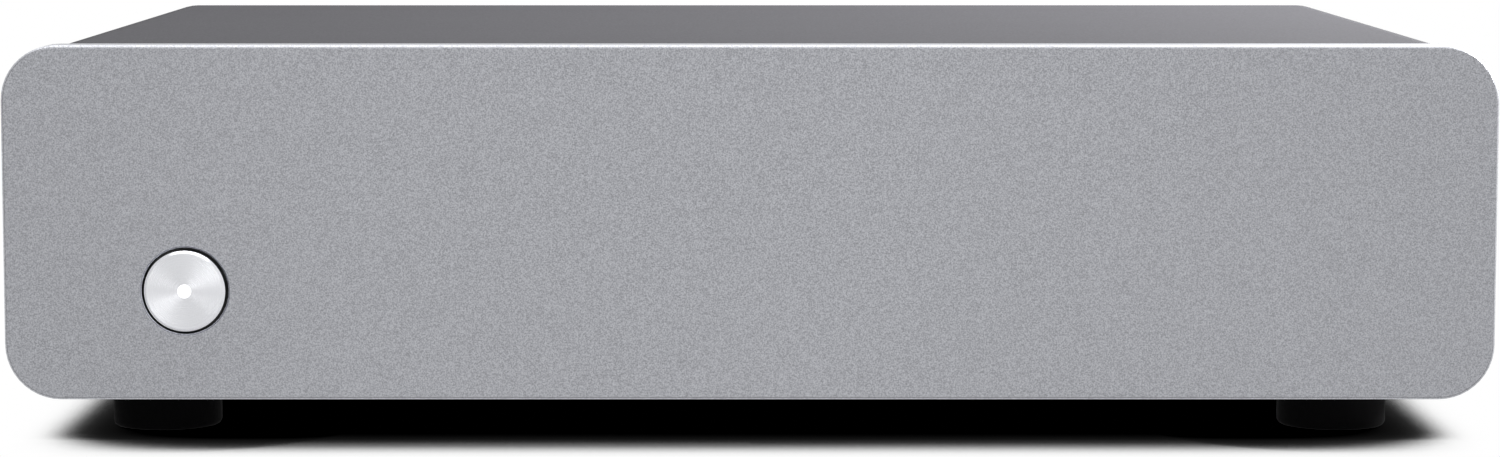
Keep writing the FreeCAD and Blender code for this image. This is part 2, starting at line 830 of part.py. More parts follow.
def screw_shape(label, radius, length, head_radius, head_height):
    """A pan-head cross-recess screw, its head's seat at Z 0 and its shank along +Z."""
    body = pattern_body(label)
    turned(body, [("0", f"-{head_height}"), (f"{head_radius} * screw_crown_share", f"-{head_height}"),
                  (head_radius, f"-{head_height} * screw_rim_share"), (head_radius, "0"), (radius, "0"),
                  (radius, length), ("0", length)])
    for long_side, short_side in (("screw_slot_length", "screw_slot_width"),
                                  ("screw_slot_width", "screw_slot_length")):
        slot = draw(body, "XY_Plane", f"-{head_height}")
        rectangle(slot, f"-{long_side} / 2", f"{long_side} / 2", f"-{short_side} / 2", f"{short_side} / 2")
        cut(slot, "screw_slot_depth")
    return body


def machine_screw(label, length):
    return screw_shape(label, "screw_radius", length, "screw_head_radius", "screw_head_height")


def case_screws():
    foot_screw = machine_screw("foot_screw_shape", "foot_screw_length")
    group("foot_screws", foot_screw, [(across, back, "foot_well_depth") for across, back in foot_spots()])
    cover_screw = machine_screw("cover_screw_shape", "cover_screw_length")
    group("cover_screws", cover_screw,
          [(across, back, "cover_low_z") for across, back in cover_screw_spots()])
    fascia_screw = machine_screw("fascia_screw_shape", "fascia_screw_length")
    group("fascia_screws", fascia_screw,
          [(across, "flange_back_y", up) for across, up in fascia_screw_spots()], TO_FRONT)
    panel_screw = machine_screw("panel_screw_shape", "panel_screw_length")
    group("panel_screws", panel_screw,
          [(across, "panel_face_y", up) for across, up in ear_screw_spots() + jack_screw_spots()], TO_FRONT)


def tray_nuts():
    nut = pattern_body("nut_shape")
    ring = hexagon(draw(nut, "XY_Plane"), "nut_across_flats")
    circle(ring, "0", "0", "screw_radius")
    pad(ring, "nut_height")
    spots = foot_spots() + cover_screw_spots()
    group("tray_nuts", nut, [(across, back, "tray_top_z") for across, back in spots])


# Power button, its own +Z running from its face to the back

def power_button():
    body = new_body("power_button")
    flange_start = "button_cap_length - button_flange_height"
    turned(body, [("light_radius", "0"), ("button_radius - button_bevel", "0"),
                  ("button_radius", "button_bevel"), ("button_radius", flange_start),
                  ("button_flange_radius", flange_start), ("button_flange_radius", "button_cap_length"),
                  ("button_cap_bore", "button_cap_length"), ("button_cap_bore", "button_cap_face"),
                  ("light_radius", "button_cap_face")])
    place(body, "button_x", "button_face_y", "button_z", TO_BACK)


def button_light_guide():
    body = new_body("button_light_guide")
    collar_end = "button_cap_face + light_collar_height"
    turned(body, [("0", "0"), ("light_radius", "0"), ("light_radius", "button_cap_face"),
                  ("light_collar_radius", "button_cap_face"), ("light_collar_radius", collar_end),
                  ("light_radius", collar_end), ("light_radius", "light_length"), ("0", "light_length")])
    place(body, "button_x", "button_face_y", "button_z", TO_BACK)


def button_plunger():
    body = new_body("button_plunger")
    start = "button_cap_face + light_collar_height"
    bore = "light_radius + plunger_fit"
    rim = "button_cap_bore - plunger_fit"
    turned(body, [(bore, start), (rim, start), (rim, "button_cap_length"),
                  ("plunger_disc_radius", "button_cap_length"), ("plunger_disc_radius", "plunger_back"),
                  (bore, "plunger_back")])
    peg = draw(body, "XY_Plane", "plunger_back")
    half = "plunger_peg_size / 2"
    rectangle(peg, f"-{half}", half, f"plunger_peg_drop - {half}", f"plunger_peg_drop + {half}")
    pad(peg, "stem_tip_y - button_face_y - plunger_back")
    place(body, "button_x", "button_face_y", "button_z", TO_BACK)


def coil_point(turns, radius, rise):
    """Where a coil's centre line is after some turns, and which way it runs there."""
    angle = 2 * math.pi * turns
    spot = Vector(radius * math.cos(angle), radius * math.sin(angle), rise * turns)
    heading = Vector(-radius * math.sin(angle), radius * math.cos(angle), rise / (2 * math.pi))
    return spot, heading.normalize()


def arc_from(start, heading, end):
    """The arc that leaves its start along a heading and reaches its end."""
    across = end - start
    side = heading.cross(across).cross(heading).normalize()
    bend = across.dot(across) / (2 * across.dot(side))
    centre = start + side * bend
    middle = centre + (start + end - centre * 2).normalize() * bend
    return Part.Arc(start, middle, end).toShape()


def biarc(start, leaving, end, arriving):
    """Two arcs that meet smoothly between two points with given headings."""
    across = end - start
    both = leaving + arriving
    spread = 2 * (1 - leaving.dot(arriving))
    reach = math.sqrt(across.dot(both) ** 2 + spread * across.dot(across))
    arm = (reach - across.dot(both)) / spread
    near_corner = start + leaving * arm
    far_corner = end - arriving * arm
    meeting = (near_corner + far_corner) * 0.5
    return [arc_from(start, leaving, meeting), arc_from(meeting, far_corner - near_corner, end)]


def button_spring():
    """An open coil between the plunger's disc and the ledge in the housing."""
    rise = value("(spring_length - spring_wire) / spring_turns")
    radius = value("spring_radius")
    quarters = round(4 * value("spring_turns"))
    stations = [coil_point(quarter / 4, radius, rise) for quarter in range(quarters + 1)]
    arcs = []
    for near, far in zip(stations, stations[1:]):
        arcs += biarc(*near, *far)
    section = Part.Wire(Part.makeCircle(value("spring_wire / 2"), *stations[0]))
    feature = document.addObject("Part::Feature", "button_spring")
    feature.Label = "button_spring"
    feature.Shape = Part.Wire(arcs).makePipeShell([section], True, False)
    place(feature, "button_x", "button_face_y + plunger_back + spring_wire / 2", "button_z", TO_BACK)
    pieces.append(feature)
    print(f"button_spring: least gap between its turns {spring_gap(radius, rise):.2f} mm")


def spring_gap(radius, rise):
    """The least gap of the coil to itself, measured between points half a turn or more apart."""
    count = round(SPRING_POINTS_A_TURN * value("spring_turns"))
    spots = [coil_point(step / SPRING_POINTS_A_TURN, radius, rise)[0] for step in range(count + 1)]
    least = min(near.distanceToPoint(far) for index, near in enumerate(spots)
                for far in spots[index + SPRING_POINTS_A_TURN // 2:])
    return least - value("spring_wire")


def button_housing():
    body = new_body("button_housing")
    half_wide = "housing_width / 2"
    half_tall = "housing_height / 2"
    block = draw(body, "XZ_Plane", "fascia_back_y")
    rectangle(block, f"button_x - {half_wide}", f"button_x + {half_wide}",
              f"button_z - {half_tall}", f"button_z + {half_tall}")
    pad(block, "housing_depth")
    fillet(body, "housing_corner", along_y)
    well = circle(draw(body, "XZ_Plane", "fascia_back_y"), "button_x", "button_z", "button_pocket")
    cut(well, "spring_seat_y - fascia_back_y")
    throat = circle(draw(body, "XZ_Plane", "fascia_back_y"), "button_x", "button_z", "spring_seat_radius")
    cut(throat, "housing_depth")
    back = draw(body, "XZ_Plane", "housing_back_y - housing_pocket_depth")
    rectangle(back, "button_x - housing_pocket_width / 2", "button_x + housing_pocket_width / 2",
              "button_z - housing_pocket_height / 2", "button_z + housing_pocket_height / 2")
    cut(back, "housing_pocket_depth")
    screws = draw(body, "XZ_Plane", "fascia_back_y")
    for side in both_sides("housing_screw_spread"):
        circle(screws, f"button_x + {side}", "button_z", "small_screw_radius + screw_gap")
    cut(screws, "housing_depth")


def switch_board():
    body = new_body("switch_board")
    sheet = draw(body, "XZ_Plane", "housing_back_y")
    rectangle(sheet, "button_x - housing_width / 2", "button_x + housing_width / 2",
              "button_z - housing_height / 2", "button_z + housing_height / 2")
    pad(sheet, "board_thickness")
    holes = draw(body, "XZ_Plane", "housing_back_y")
    for side in both_sides("housing_screw_spread"):
        circle(holes, f"button_x + {side}", "button_z", "small_screw_radius + screw_gap")
    cut(holes, "board_thickness")


def button_screws():
    length = "board_thickness + housing_depth + small_screw_bite"
    screw = screw_shape("button_screw_shape", "small_screw_radius", length,
                        "small_screw_head_radius", "small_screw_head_height")
    spots = [(f"button_x + {side}", "switch_board_back_y", "button_z")
             for side in both_sides("housing_screw_spread")]
    group("button_screws", screw, spots, TO_FRONT)


def power_switch():
    body = new_body("power_switch")
    half = "switch_size / 2"
    block = draw(body, "XZ_Plane", "switch_face_y")
    rectangle(block, f"button_x - {half}", f"button_x + {half}", f"switch_z - {half}", f"switch_z + {half}")
    pad(block, "switch_height")
    well = draw(body, "XZ_Plane", "switch_face_y")
    circle(well, "button_x", "switch_z", "stem_radius + plunger_fit")
    cut(well, "switch_well_depth")


def switch_stem():
    body = new_body("switch_stem")
    rod = circle(draw(body, "XZ_Plane", "stem_tip_y"), "button_x", "switch_z", "stem_radius")
    pad(rod, "stem_proud + stem_buried")


def power_led():
    body = new_body("power_led")
    block = draw(body, "XZ_Plane", "housing_back_y - led_depth")
    rectangle(block, "button_x - led_width / 2", "button_x + led_width / 2",
              "button_z - led_height / 2", "button_z + led_height / 2")
    pad(block, "led_depth")


# Circuit boards and what holds them

def board_corners(left, right, front):
    inset = "board_screw_inset"
    corners = []
    for across in (f"{left} + {inset}", f"{right} - {inset}"):
        for back in (f"{front} + {inset}", f"board_back_y - {inset}"):
            corners.append((across, back))
    return corners


def main_board_corners():
    return board_corners("main_board_left", "main_board_right", "main_board_front")


def power_board_corners():
    return board_corners("power_board_left", "power_board_right", "power_board_front")


def board_screw_spots():
    return main_board_corners() + power_board_corners()


def circuit_board(label, left, right, front, corners):
    body = new_body(label)
    sheet = draw(body, "XY_Plane", "board_low_z")
    rectangle(sheet, left, right, front, "board_back_y")
    pad(sheet, "board_thickness")
    holes = draw(body, "XY_Plane", "board_low_z")
    for across, back in corners:
        circle(holes, across, back, "board_hole_radius")
    cut(holes, "board_thickness")


def boards():
    circuit_board("main_board", "main_board_left", "main_board_right", "main_board_front",
                  main_board_corners())
    circuit_board("power_board", "power_board_left", "power_board_right", "power_board_front",
                  power_board_corners())
    standoff = pattern_body("standoff_shape")
    pad(hexagon(draw(standoff, "XY_Plane"), "standoff_across_flats"), "standoff_height")
    pad(circle(draw(standoff, "XY_Plane", "-tray_sheet"), "0", "0", "standoff_spigot_radius"), "tray_sheet")
    bore = circle(draw(standoff, "XY_Plane", "-tray_sheet"), "0", "0", "screw_radius")
    cut(bore, "tray_sheet + standoff_height")
    group("board_standoffs", standoff,
          [(across, back, "tray_top_z") for across, back in board_screw_spots()])
    screw = machine_screw("board_screw_shape", "board_screw_length")
    spots = [(across, back, "board_top_z") for across, back in board_screw_spots()]
    group("board_screws", screw, spots, UPSIDE_DOWN)


# Phono sockets

def jack_block(label, pair):
    body = new_body(label)
    half = "jack_block_width / 2"
    block = draw(body, "XZ_Plane", "panel_inner_y - jack_block_depth")
    rectangle(block, f"{pair} - {half}", f"{pair} + {half}",
              "board_top_z", "board_top_z + jack_block_height")
    pad(block, "jack_block_depth")
    jacks = [f"{pair} + {side}" for side in both_sides("jack_pitch / 2")]
    bosses = draw(body, "XZ_Plane", "panel_inner_y")
    for across in jacks:
        circle(bosses, across, "socket_z", "jack_boss_radius")
    pad(bosses, "panel_sheet")
    seats = draw(body, "XZ_Plane", "barrel_back_y")
    for across in jacks:
        circle(seats, across, "socket_z", "barrel_radius")
    cut(seats, "barrel_root + panel_sheet")
    wells = draw(body, "XZ_Plane", "contact_back_y")
    for across in jacks:
        circle(wells, across, "socket_z", "contact_radius")
    cut(wells, "barrel_back_y - contact_back_y")
    screw = draw(body, "XZ_Plane", "panel_face_y - panel_screw_length - end_clearance")
    circle(screw, pair, "socket_z", "screw_radius")
    cut(screw, "panel_screw_length + end_clearance")


def jack_barrels():
    barrel = pattern_body("barrel_shape")
    length = "socket_tip_y - barrel_back_y"
    collar = "panel_face_y - barrel_back_y"
    collar_end = f"{collar} + barrel_collar_height"
    turned(barrel, [("barrel_bore", "0"), ("barrel_radius", "0"), ("barrel_radius", collar),
                    ("barrel_collar_radius", collar), ("barrel_collar_radius", collar_end),
                    ("barrel_radius", collar_end), ("barrel_radius", f"{length} - barrel_edge"),
                    ("barrel_radius - barrel_edge", length), ("barrel_bore", length)])
    group("jack_barrels", barrel, [(across, "barrel_back_y", up) for across, up in jack_spots()], TO_BACK)


def jack_insulators():
    insulator = pattern_body("insulator_shape")
    ring = circle(draw(insulator, "XY_Plane"), "0", "0", "barrel_bore")
    circle(ring, "0", "0", "insulator_bore")
    pad(ring, "insulator_length")
    start = "socket_tip_y - insulator_recess - insulator_length"
    for label, side in (("white_insulators", "+"), ("red_insulators", "-")):
        spots = [(f"{pair} {side} jack_pitch / 2", start, "socket_z")
                 for pair in ("input_pair_x", "output_pair_x")]
        group(label, insulator, spots, TO_BACK)
    contact = pattern_body("contact_shape")
    tube = circle(draw(contact, "XY_Plane"), "0", "0", "contact_radius")
    circle(tube, "0", "0", "contact_bore")
    pad(tube, "contact_length")
    group("jack_contacts", contact,
          [(across, "contact_back_y", up) for across, up in jack_spots()], TO_BACK)


# Balance control

def balance_pot():
    body = new_body("balance_pot")
    half = "pot_width / 2"
    block = draw(body, "XZ_Plane", "panel_inner_y - pot_depth")
    rectangle(block, f"balance_x - {half}", f"balance_x + {half}",
              "board_top_z", "board_top_z + pot_height")
    pad(block, "pot_depth")
    bushing = circle(draw(body, "XZ_Plane", "panel_inner_y"), "balance_x", "socket_z", "bushing_radius")
    pad(bushing, "bushing_end_y - panel_inner_y")
    bore = draw(body, "XZ_Plane", "panel_inner_y - balance_shaft_buried - end_clearance")
    circle(bore, "balance_x", "socket_z", "balance_shaft_radius + balance_shaft_gap")
    cut(bore, "bushing_end_y - panel_inner_y + balance_shaft_buried + end_clearance")


def balance_shaft():
    body = new_body("balance_shaft")
    start = "panel_inner_y - balance_shaft_buried"
    rod = circle(draw(body, "XZ_Plane", start), "balance_x", "socket_z", "balance_shaft_radius")
    pad(rod, f"knob_back_y + balance_knob_grip - ({start})")


def balance_nut():
    body = new_body("balance_nut")
    ring = hexagon(draw(body, "XY_Plane"), "balance_nut_across_flats")
    circle(ring, "0", "0", "bushing_radius")
    pad(ring, "balance_nut_height")
    place(body, "balance_x", "panel_face_y", "socket_z", TO_BACK)


def balance_knob():
    body = new_body("balance_knob")
    turned(body, [("balance_shaft_radius", "0"), ("balance_knob_radius", "0"),
                  ("balance_knob_radius", "balance_knob_length - balance_knob_edge"),
                  ("balance_knob_radius - balance_knob_edge", "balance_knob_length"),
                  ("0", "balance_knob_length"), ("0", "balance_knob_grip"),
                  ("balance_shaft_radius", "balance_knob_grip")])
    pointer = draw(body, "XY_Plane", "balance_knob_length - balance_pointer_depth")
    half = "balance_pointer_width / 2"
    rectangle(pointer, f"-{half}", half, "-balance_knob_radius - end_clearance", "0")
    cut(pointer, "balance_pointer_depth")
    flutes = draw(body, "XY_Plane")
    for step in range(BALANCE_FLUTES):
        turn = 360 * (step + 0.5) / BALANCE_FLUTES
        circle(flutes, f"balance_knob_radius * sin({turn})", f"balance_knob_radius * cos({turn})",
               "balance_flute_radius")
    cut(flutes, "balance_knob_length")
    place(body, "balance_x", "knob_back_y", "socket_z", TO_BACK)


# Ground terminal, its own +Z running outwards

def ground_terminal():
    post = new_body("ground_post")
    pad(hexagon(draw(post, "XY_Plane", "-ground_head_height"), "ground_head_flats"), "ground_head_height")
    shank = circle(draw(post, "XY_Plane"), "0", "0", "ground_radius")
    pad(shank, "ground_end_y - panel_inner_y + tag_thickness")
    place(post, "ground_x", "panel_inner_y - tag_thickness", "socket_z", TO_BACK)
    lock = new_body("ground_lock_nut")
    ring = hexagon(draw(lock, "XY_Plane"), "ground_head_flats")
    circle(ring, "0", "0", "ground_radius")
    pad(ring, "ground_lock_height")
    place(lock, "ground_x", "panel_face_y", "socket_z", TO_BACK)
    washer = new_body("ground_washer")
    disc = circle(draw(washer, "XY_Plane"), "0", "0", "ground_washer_radius")
    circle(disc, "0", "0", "ground_radius + ground_gap")
    pad(disc, "ground_washer_height")
    place(washer, "ground_x", "ground_washer_y", "socket_z", TO_BACK)


def ground_nut():
    body = new_body("ground_nut")
    corners = []
    for step in range(2 * GROUND_KNURLS):
        turn = 180 * step / GROUND_KNURLS
        reach = "ground_nut_radius" if step % 2 == 0 else "(ground_nut_radius - ground_knurl_depth)"
        corners.append((f"{reach} * cos({turn})", f"{reach} * sin({turn})"))
    rim = outline(draw(body, "XY_Plane"), corners)
    circle(rim, "0", "0", "ground_radius + ground_gap")
    pad(rim, "ground_nut_height")
    place(body, "ground_x", "ground_nut_y", "socket_z", TO_BACK)


def ground_tag():
    """A soldering strip: an upright leg behind the post's head and a foot on the board."""
    body = new_body("ground_tag")
    half = "tag_width / 2"
    leg = draw(body, "XZ_Plane", "panel_inner_y - tag_thickness")
    rectangle(leg, f"ground_x - {half}", f"ground_x + {half}", "board_top_z", f"socket_z + {half}")
    pad(leg, "tag_thickness")
    foot = draw(body, "XY_Plane", "board_top_z")
    rectangle(foot, f"ground_x - {half}", f"ground_x + {half}", "panel_inner_y - tag_foot", "panel_inner_y")
    pad(foot, "tag_thickness")
    hole = circle(draw(body, "XZ_Plane", "panel_inner_y - tag_thickness"), "ground_x", "socket_z",
                  "ground_radius")
    cut(hole, "tag_thickness")


# Mains inlet

def mains_inlet():
    body = new_body("mains_inlet")
    half = "inlet_width / 2"
    block = draw(body, "XZ_Plane", "inlet_back_y")
    rectangle(block, f"inlet_x - {half}", f"inlet_x + {half}", "board_top_z", "board_top_z + inlet_height")
    pad(block, "inlet_depth")
    nose = draw(body, "XZ_Plane", "panel_inner_y")
    rectangle(nose, "inlet_x - inlet_nose_width / 2", "inlet_x + inlet_nose_width / 2",
              "socket_z - inlet_nose_height / 2", "socket_z + inlet_nose_height / 2")
    pad(nose, "inlet_face_y - panel_inner_y")
    recess = draw(body, "XZ_Plane", "inlet_face_y - inlet_recess_depth")
    rectangle(recess, "inlet_x - inlet_recess_centre", "inlet_x + inlet_recess_centre",
              "socket_z - inlet_recess_radius", "socket_z + inlet_recess_radius")
    cut(recess, "inlet_recess_depth")
    for side in both_sides("inlet_recess_centre"):
        end = draw(body, "XZ_Plane", "inlet_face_y - inlet_recess_depth")
        circle(end, f"inlet_x + {side}", "socket_z", "inlet_recess_radius")
        cut(end, "inlet_recess_depth")
    pins = draw(body, "XZ_Plane", "inlet_back_y")
    for side in both_sides("inlet_pin_spread"):
        circle(pins, f"inlet_x + {side}", "socket_z", "inlet_pin_radius")
    cut(pins, "inlet_face_y - inlet_recess_depth - inlet_back_y")


def inlet_pins():
    pin = pattern_body("inlet_pin_shape")
    length = "inlet_face_y - inlet_pin_shy - inlet_back_y + inlet_pin_tail"
    round_end = "inlet_pin_radius / 2"
    turned(pin, [("0", "0"), ("inlet_pin_radius", "0"), ("inlet_pin_radius", f"{length} - {round_end}"),
                 (round_end, length), ("0", length)])
    spots = [(f"inlet_x + {side}", "inlet_back_y - inlet_pin_tail", "socket_z")
             for side in both_sides("inlet_pin_spread")]
    group("inlet_pins", pin, spots, TO_BACK)


# Parts on the boards

def on_board(left, right, forward):
    """The (across, back) place of a part, from a board's back left corner."""
    return f"{left} + {right}", f"board_back_y - {forward}"


def box_shape(label, width, depth, height, across, back, up):
    """A block standing on a place, centred across and back."""
    block = document.addObject("Part::Box", label)
    block.setExpression("Length", bound(width))
    block.setExpression("Width", bound(depth))
    block.setExpression("Height", bound(height))
    place(block, f"{across} - ({width}) / 2", f"{back} - ({depth}) / 2", up)
    return block


def box_piece(label, width, depth, height, across, back):
    block = box_shape(label, width, depth, height, across, back, "board_top_z")
    block.Label = label
    pieces.append(block)


def box_pattern(name, width, depth, height):
    """A block on the origin, wrapped so that its copies keep to their own places."""
    wrap = document.addObject("Part::Compound", f"{name}_form")
    wrap.Links = [box_shape(f"{name}_shape", width, depth, height, "0", "0", "0")]
    return wrap


def board_row(left, first, pitch, count, forward):
    """Places in a row across a board, evenly spaced from the first one."""
    spots = []
    for column in range(count):
        across, back = on_board(left, f"{first} + {column} * {pitch}", forward)
        spots.append((across, back, "board_top_z"))
    return spots


def can_shape(label, radius, height):
    """An electrolytic capacitor: an aluminium can with a rolled groove near its foot."""
    body = pattern_body(label)
    groove = "can_groove_height"
    turned(body, [("0", "0"), (radius, "0"), (radius, groove),
                  (f"{radius} - can_groove_depth", f"{groove} + can_groove_depth"),
                  (radius, f"{groove} + 2 * can_groove_depth"), (radius, height), ("0", height)])
    return body


def mains_parts():
    fuse_x, fuse_y = on_board("power_board_left", "fuse_right", "fuse_forward")
    fuse = new_body("mains_fuse")
    glass = "fuse_radius - fuse_cap_wall"
    turned(fuse, [("0", "0"), ("fuse_radius", "0"), ("fuse_radius", "clip_width"), (glass, "clip_width"),
                  (glass, "fuse_length - clip_width"), ("fuse_radius", "fuse_length - clip_width"),
                  ("fuse_radius", "fuse_length"), ("0", "fuse_length")])
    place(fuse, fuse_x, f"{fuse_y} - fuse_length / 2", "board_top_z + clip_wall + fuse_radius", TO_BACK)
    clip = pattern_body("clip_shape")
    outer = "(fuse_radius + clip_wall)"
    shape = draw(clip, "XZ_Plane")
    outline(shape, [(f"-{outer}", "0"), (outer, "0"), (outer, "clip_height"),
                    ("fuse_radius", "clip_height"), ("fuse_radius", "clip_wall"),
                    ("-fuse_radius", "clip_wall"), ("-fuse_radius", "clip_height"),
                    (f"-{outer}", "clip_height")])
    pad(shape, "clip_width")
    group("fuse_clips", clip, [(fuse_x, f"{fuse_y} - fuse_length / 2", "board_top_z"),
                               (fuse_x, f"{fuse_y} + fuse_length / 2 - clip_width", "board_top_z")])
    choke = document.addObject("Part::Torus", "filter_choke")
    choke.Label = "filter_choke"
    choke.setExpression("Radius1", bound("choke_ring_radius"))
    choke.setExpression("Radius2", bound("choke_wire_radius"))
    choke_x, choke_y = on_board("power_board_left", "choke_right", "choke_forward")
    place(choke, choke_x, choke_y, "board_top_z + choke_ring_radius + choke_wire_radius", TO_BACK)
    pieces.append(choke)
    box_piece("filter_capacitor", "filter_width", "filter_depth", "filter_height",
              *on_board("power_board_left", "filter_right", "filter_forward"))
    bulk = can_shape("bulk_capacitor", "bulk_radius", "bulk_height")
    pieces.append(bulk)
    place(bulk, *on_board("power_board_left", "bulk_right", "bulk_forward"), "board_top_z")
    supply_cap = can_shape("supply_capacitor_shape", "supply_cap_radius", "supply_cap_height")
    group("supply_capacitors", supply_cap,
          board_row("power_board_left", "supply_caps_right", "supply_caps_pitch", SUPPLY_CAPACITORS,
                    "supply_caps_forward"))


def power_transformer():
    across, back = on_board("power_board_left", "transformer_right", "transformer_forward")
    half = "transformer_width / 2"
    leg = "transformer_leg / 2"
    yoke = "transformer_yoke"
    core = new_body("power_transformer")
    frame = draw(core, "XZ_Plane", "-transformer_core_depth / 2")
    rectangle(frame, f"-{half}", half, "0", "transformer_height")
    rectangle(frame, f"-{half} + {yoke}", f"-{leg}", yoke, f"transformer_height - {yoke}")
    rectangle(frame, leg, f"{half} - {yoke}", yoke, f"transformer_height - {yoke}")
    pad(frame, "transformer_core_depth")
    place(core, across, back, "board_top_z")
    winding = new_body("transformer_winding")
    ring = draw(winding, "XY_Plane", f"{yoke} + end_clearance")
    reach = f"{half} - {yoke} - end_clearance"
    rectangle(ring, f"-({reach})", reach, "-winding_depth / 2", "winding_depth / 2")
    inner = f"{leg} + end_clearance"
    deep = "transformer_core_depth / 2 + end_clearance"
    rectangle(ring, f"-({inner})", inner, f"-({deep})", deep)
    pad(ring, f"transformer_height - 2 * {yoke} - 2 * end_clearance")
    place(winding, across, back, "board_top_z")


def heat_sink():
    body = new_body("heat_sink")
    comb = draw(body, "XY_Plane")
    half = "sink_width / 2"
    rectangle(comb, f"-{half}", half, "0", "sink_plate")
    pad(comb, "sink_height")
    for step in range(SINK_FINS):
        start = f"-{half} + {step} * (sink_width - sink_fin) / {SINK_FINS - 1}"
        fin = draw(body, "XY_Plane")
        rectangle(fin, start, f"{start} + sink_fin", "sink_plate", "sink_plate + sink_fin_reach")
        pad(fin, "sink_height")
    across, back = on_board("power_board_left", "sink_right", "sink_forward")
    place(body, across, back, "board_top_z", Rotation(Vector(0, 0, 1), 90))


def chip_shape(label):
    """A dual in-line chip standing on its legs."""
    body = pattern_body(label)
    case = draw(body, "XY_Plane", "chip_leg_height - chip_leg_inset")
    half_wide = "chip_body_width / 2"
    half_deep = "chip_body_depth / 2"
    rectangle(case, f"-{half_wide}", half_wide, f"-{half_deep}", half_deep)
    pad(case, "chip_body_height")
    for step in range(CHIP_LEGS_A_SIDE):
        middle = f"({step} - {(CHIP_LEGS_A_SIDE - 1) / 2}) * chip_leg_pitch"
        legs = draw(body, "XY_Plane")
        rectangle(legs, f"{middle} - chip_leg_width / 2", f"{middle} + chip_leg_width / 2",
                  f"-{half_deep} - chip_leg_reach", f"{half_deep} + chip_leg_reach")
        pad(legs, "chip_leg_height")
    hollow = draw(body, "XY_Plane")
    rectangle(hollow, f"-{half_wide}", half_wide, f"-{half_deep}", half_deep)
    cut(hollow, "chip_leg_height - chip_leg_inset")
    return body


def chips():
    """The amplifiers in a row on the main board and the switching chip on the power board."""
    spots = board_row("main_board_left", "amplifier_right", "amplifier_pitch", AMPLIFIER_COLUMNS,
                      "amplifier_forward")
    spots += board_row("power_board_left", "chip_right", "0", 1, "chip_forward")
    group("chips", chip_shape("chip_form"), spots)


def phono_parts():
    board = "main_board_left"
    film_spots = []
    for row in range(FILM_ROWS):
        film_spots += board_row(board, "film_right", "film_pitch_x", FILM_COLUMNS,
                                f"(film_forward + {row} * film_pitch_y)")
    group("film_capacitors", box_pattern("film", "film_width", "film_depth", "film_height"), film_spots)
    group("signal_capacitors", can_shape("signal_capacitor_shape", "signal_radius", "signal_height"),
          board_row(board, "signal_right", "signal_pitch", SIGNAL_COLUMNS, "signal_forward"))
    group("smoothing_capacitors",
          can_shape("smoothing_capacitor_shape", "smoothing_radius", "smoothing_height"),
          board_row(board, "smoothing_right", "smoothing_pitch", SMOOTHING_COLUMNS, "smoothing_forward"))
    resistor_spots = []
    for row in range(RESISTOR_ROWS):
        resistor_spots += board_row(board, "resistor_right", "resistor_pitch_x", RESISTOR_COLUMNS,
                                    f"(resistor_forward + {row} * resistor_pitch_y)")
    group("chip_resistors", box_pattern("resistor", "resistor_width", "resistor_depth", "resistor_height"),
          resistor_spots)
    group("mute_relays", box_pattern("relay", "relay_width", "relay_depth", "relay_height"),
          board_row(board, "relay_right", "relay_pitch", MUTE_RELAYS, "relay_forward"))


def voltage_regulators():
    """Each has a moulded body with a metal tab behind it, and stands on its legs."""
    body = pattern_body("regulator_shape")
    half = "regulator_width / 2"
    case = draw(body, "XY_Plane", "regulator_lift")
    rectangle(case, f"-{half}", half, "-regulator_body_depth", "0")
    pad(case, "regulator_body_height")
    tab = draw(body, "XY_Plane", "regulator_lift")
    rectangle(tab, f"-{half}", half, "0", "regulator_tab_depth")
    pad(tab, "regulator_tab_height")
    legs = draw(body, "XY_Plane")
    rectangle(legs, "-regulator_leg_width / 2", "regulator_leg_width / 2",
              "-regulator_body_depth / 2", "-regulator_body_depth / 2 + regulator_leg_depth")
    pad(legs, "regulator_lift")
    group("voltage_regulators", body,
          board_row("main_board_left", "regulator_right", "regulator_pitch", REGULATORS,
                    "regulator_forward"))


# Leads between the boards

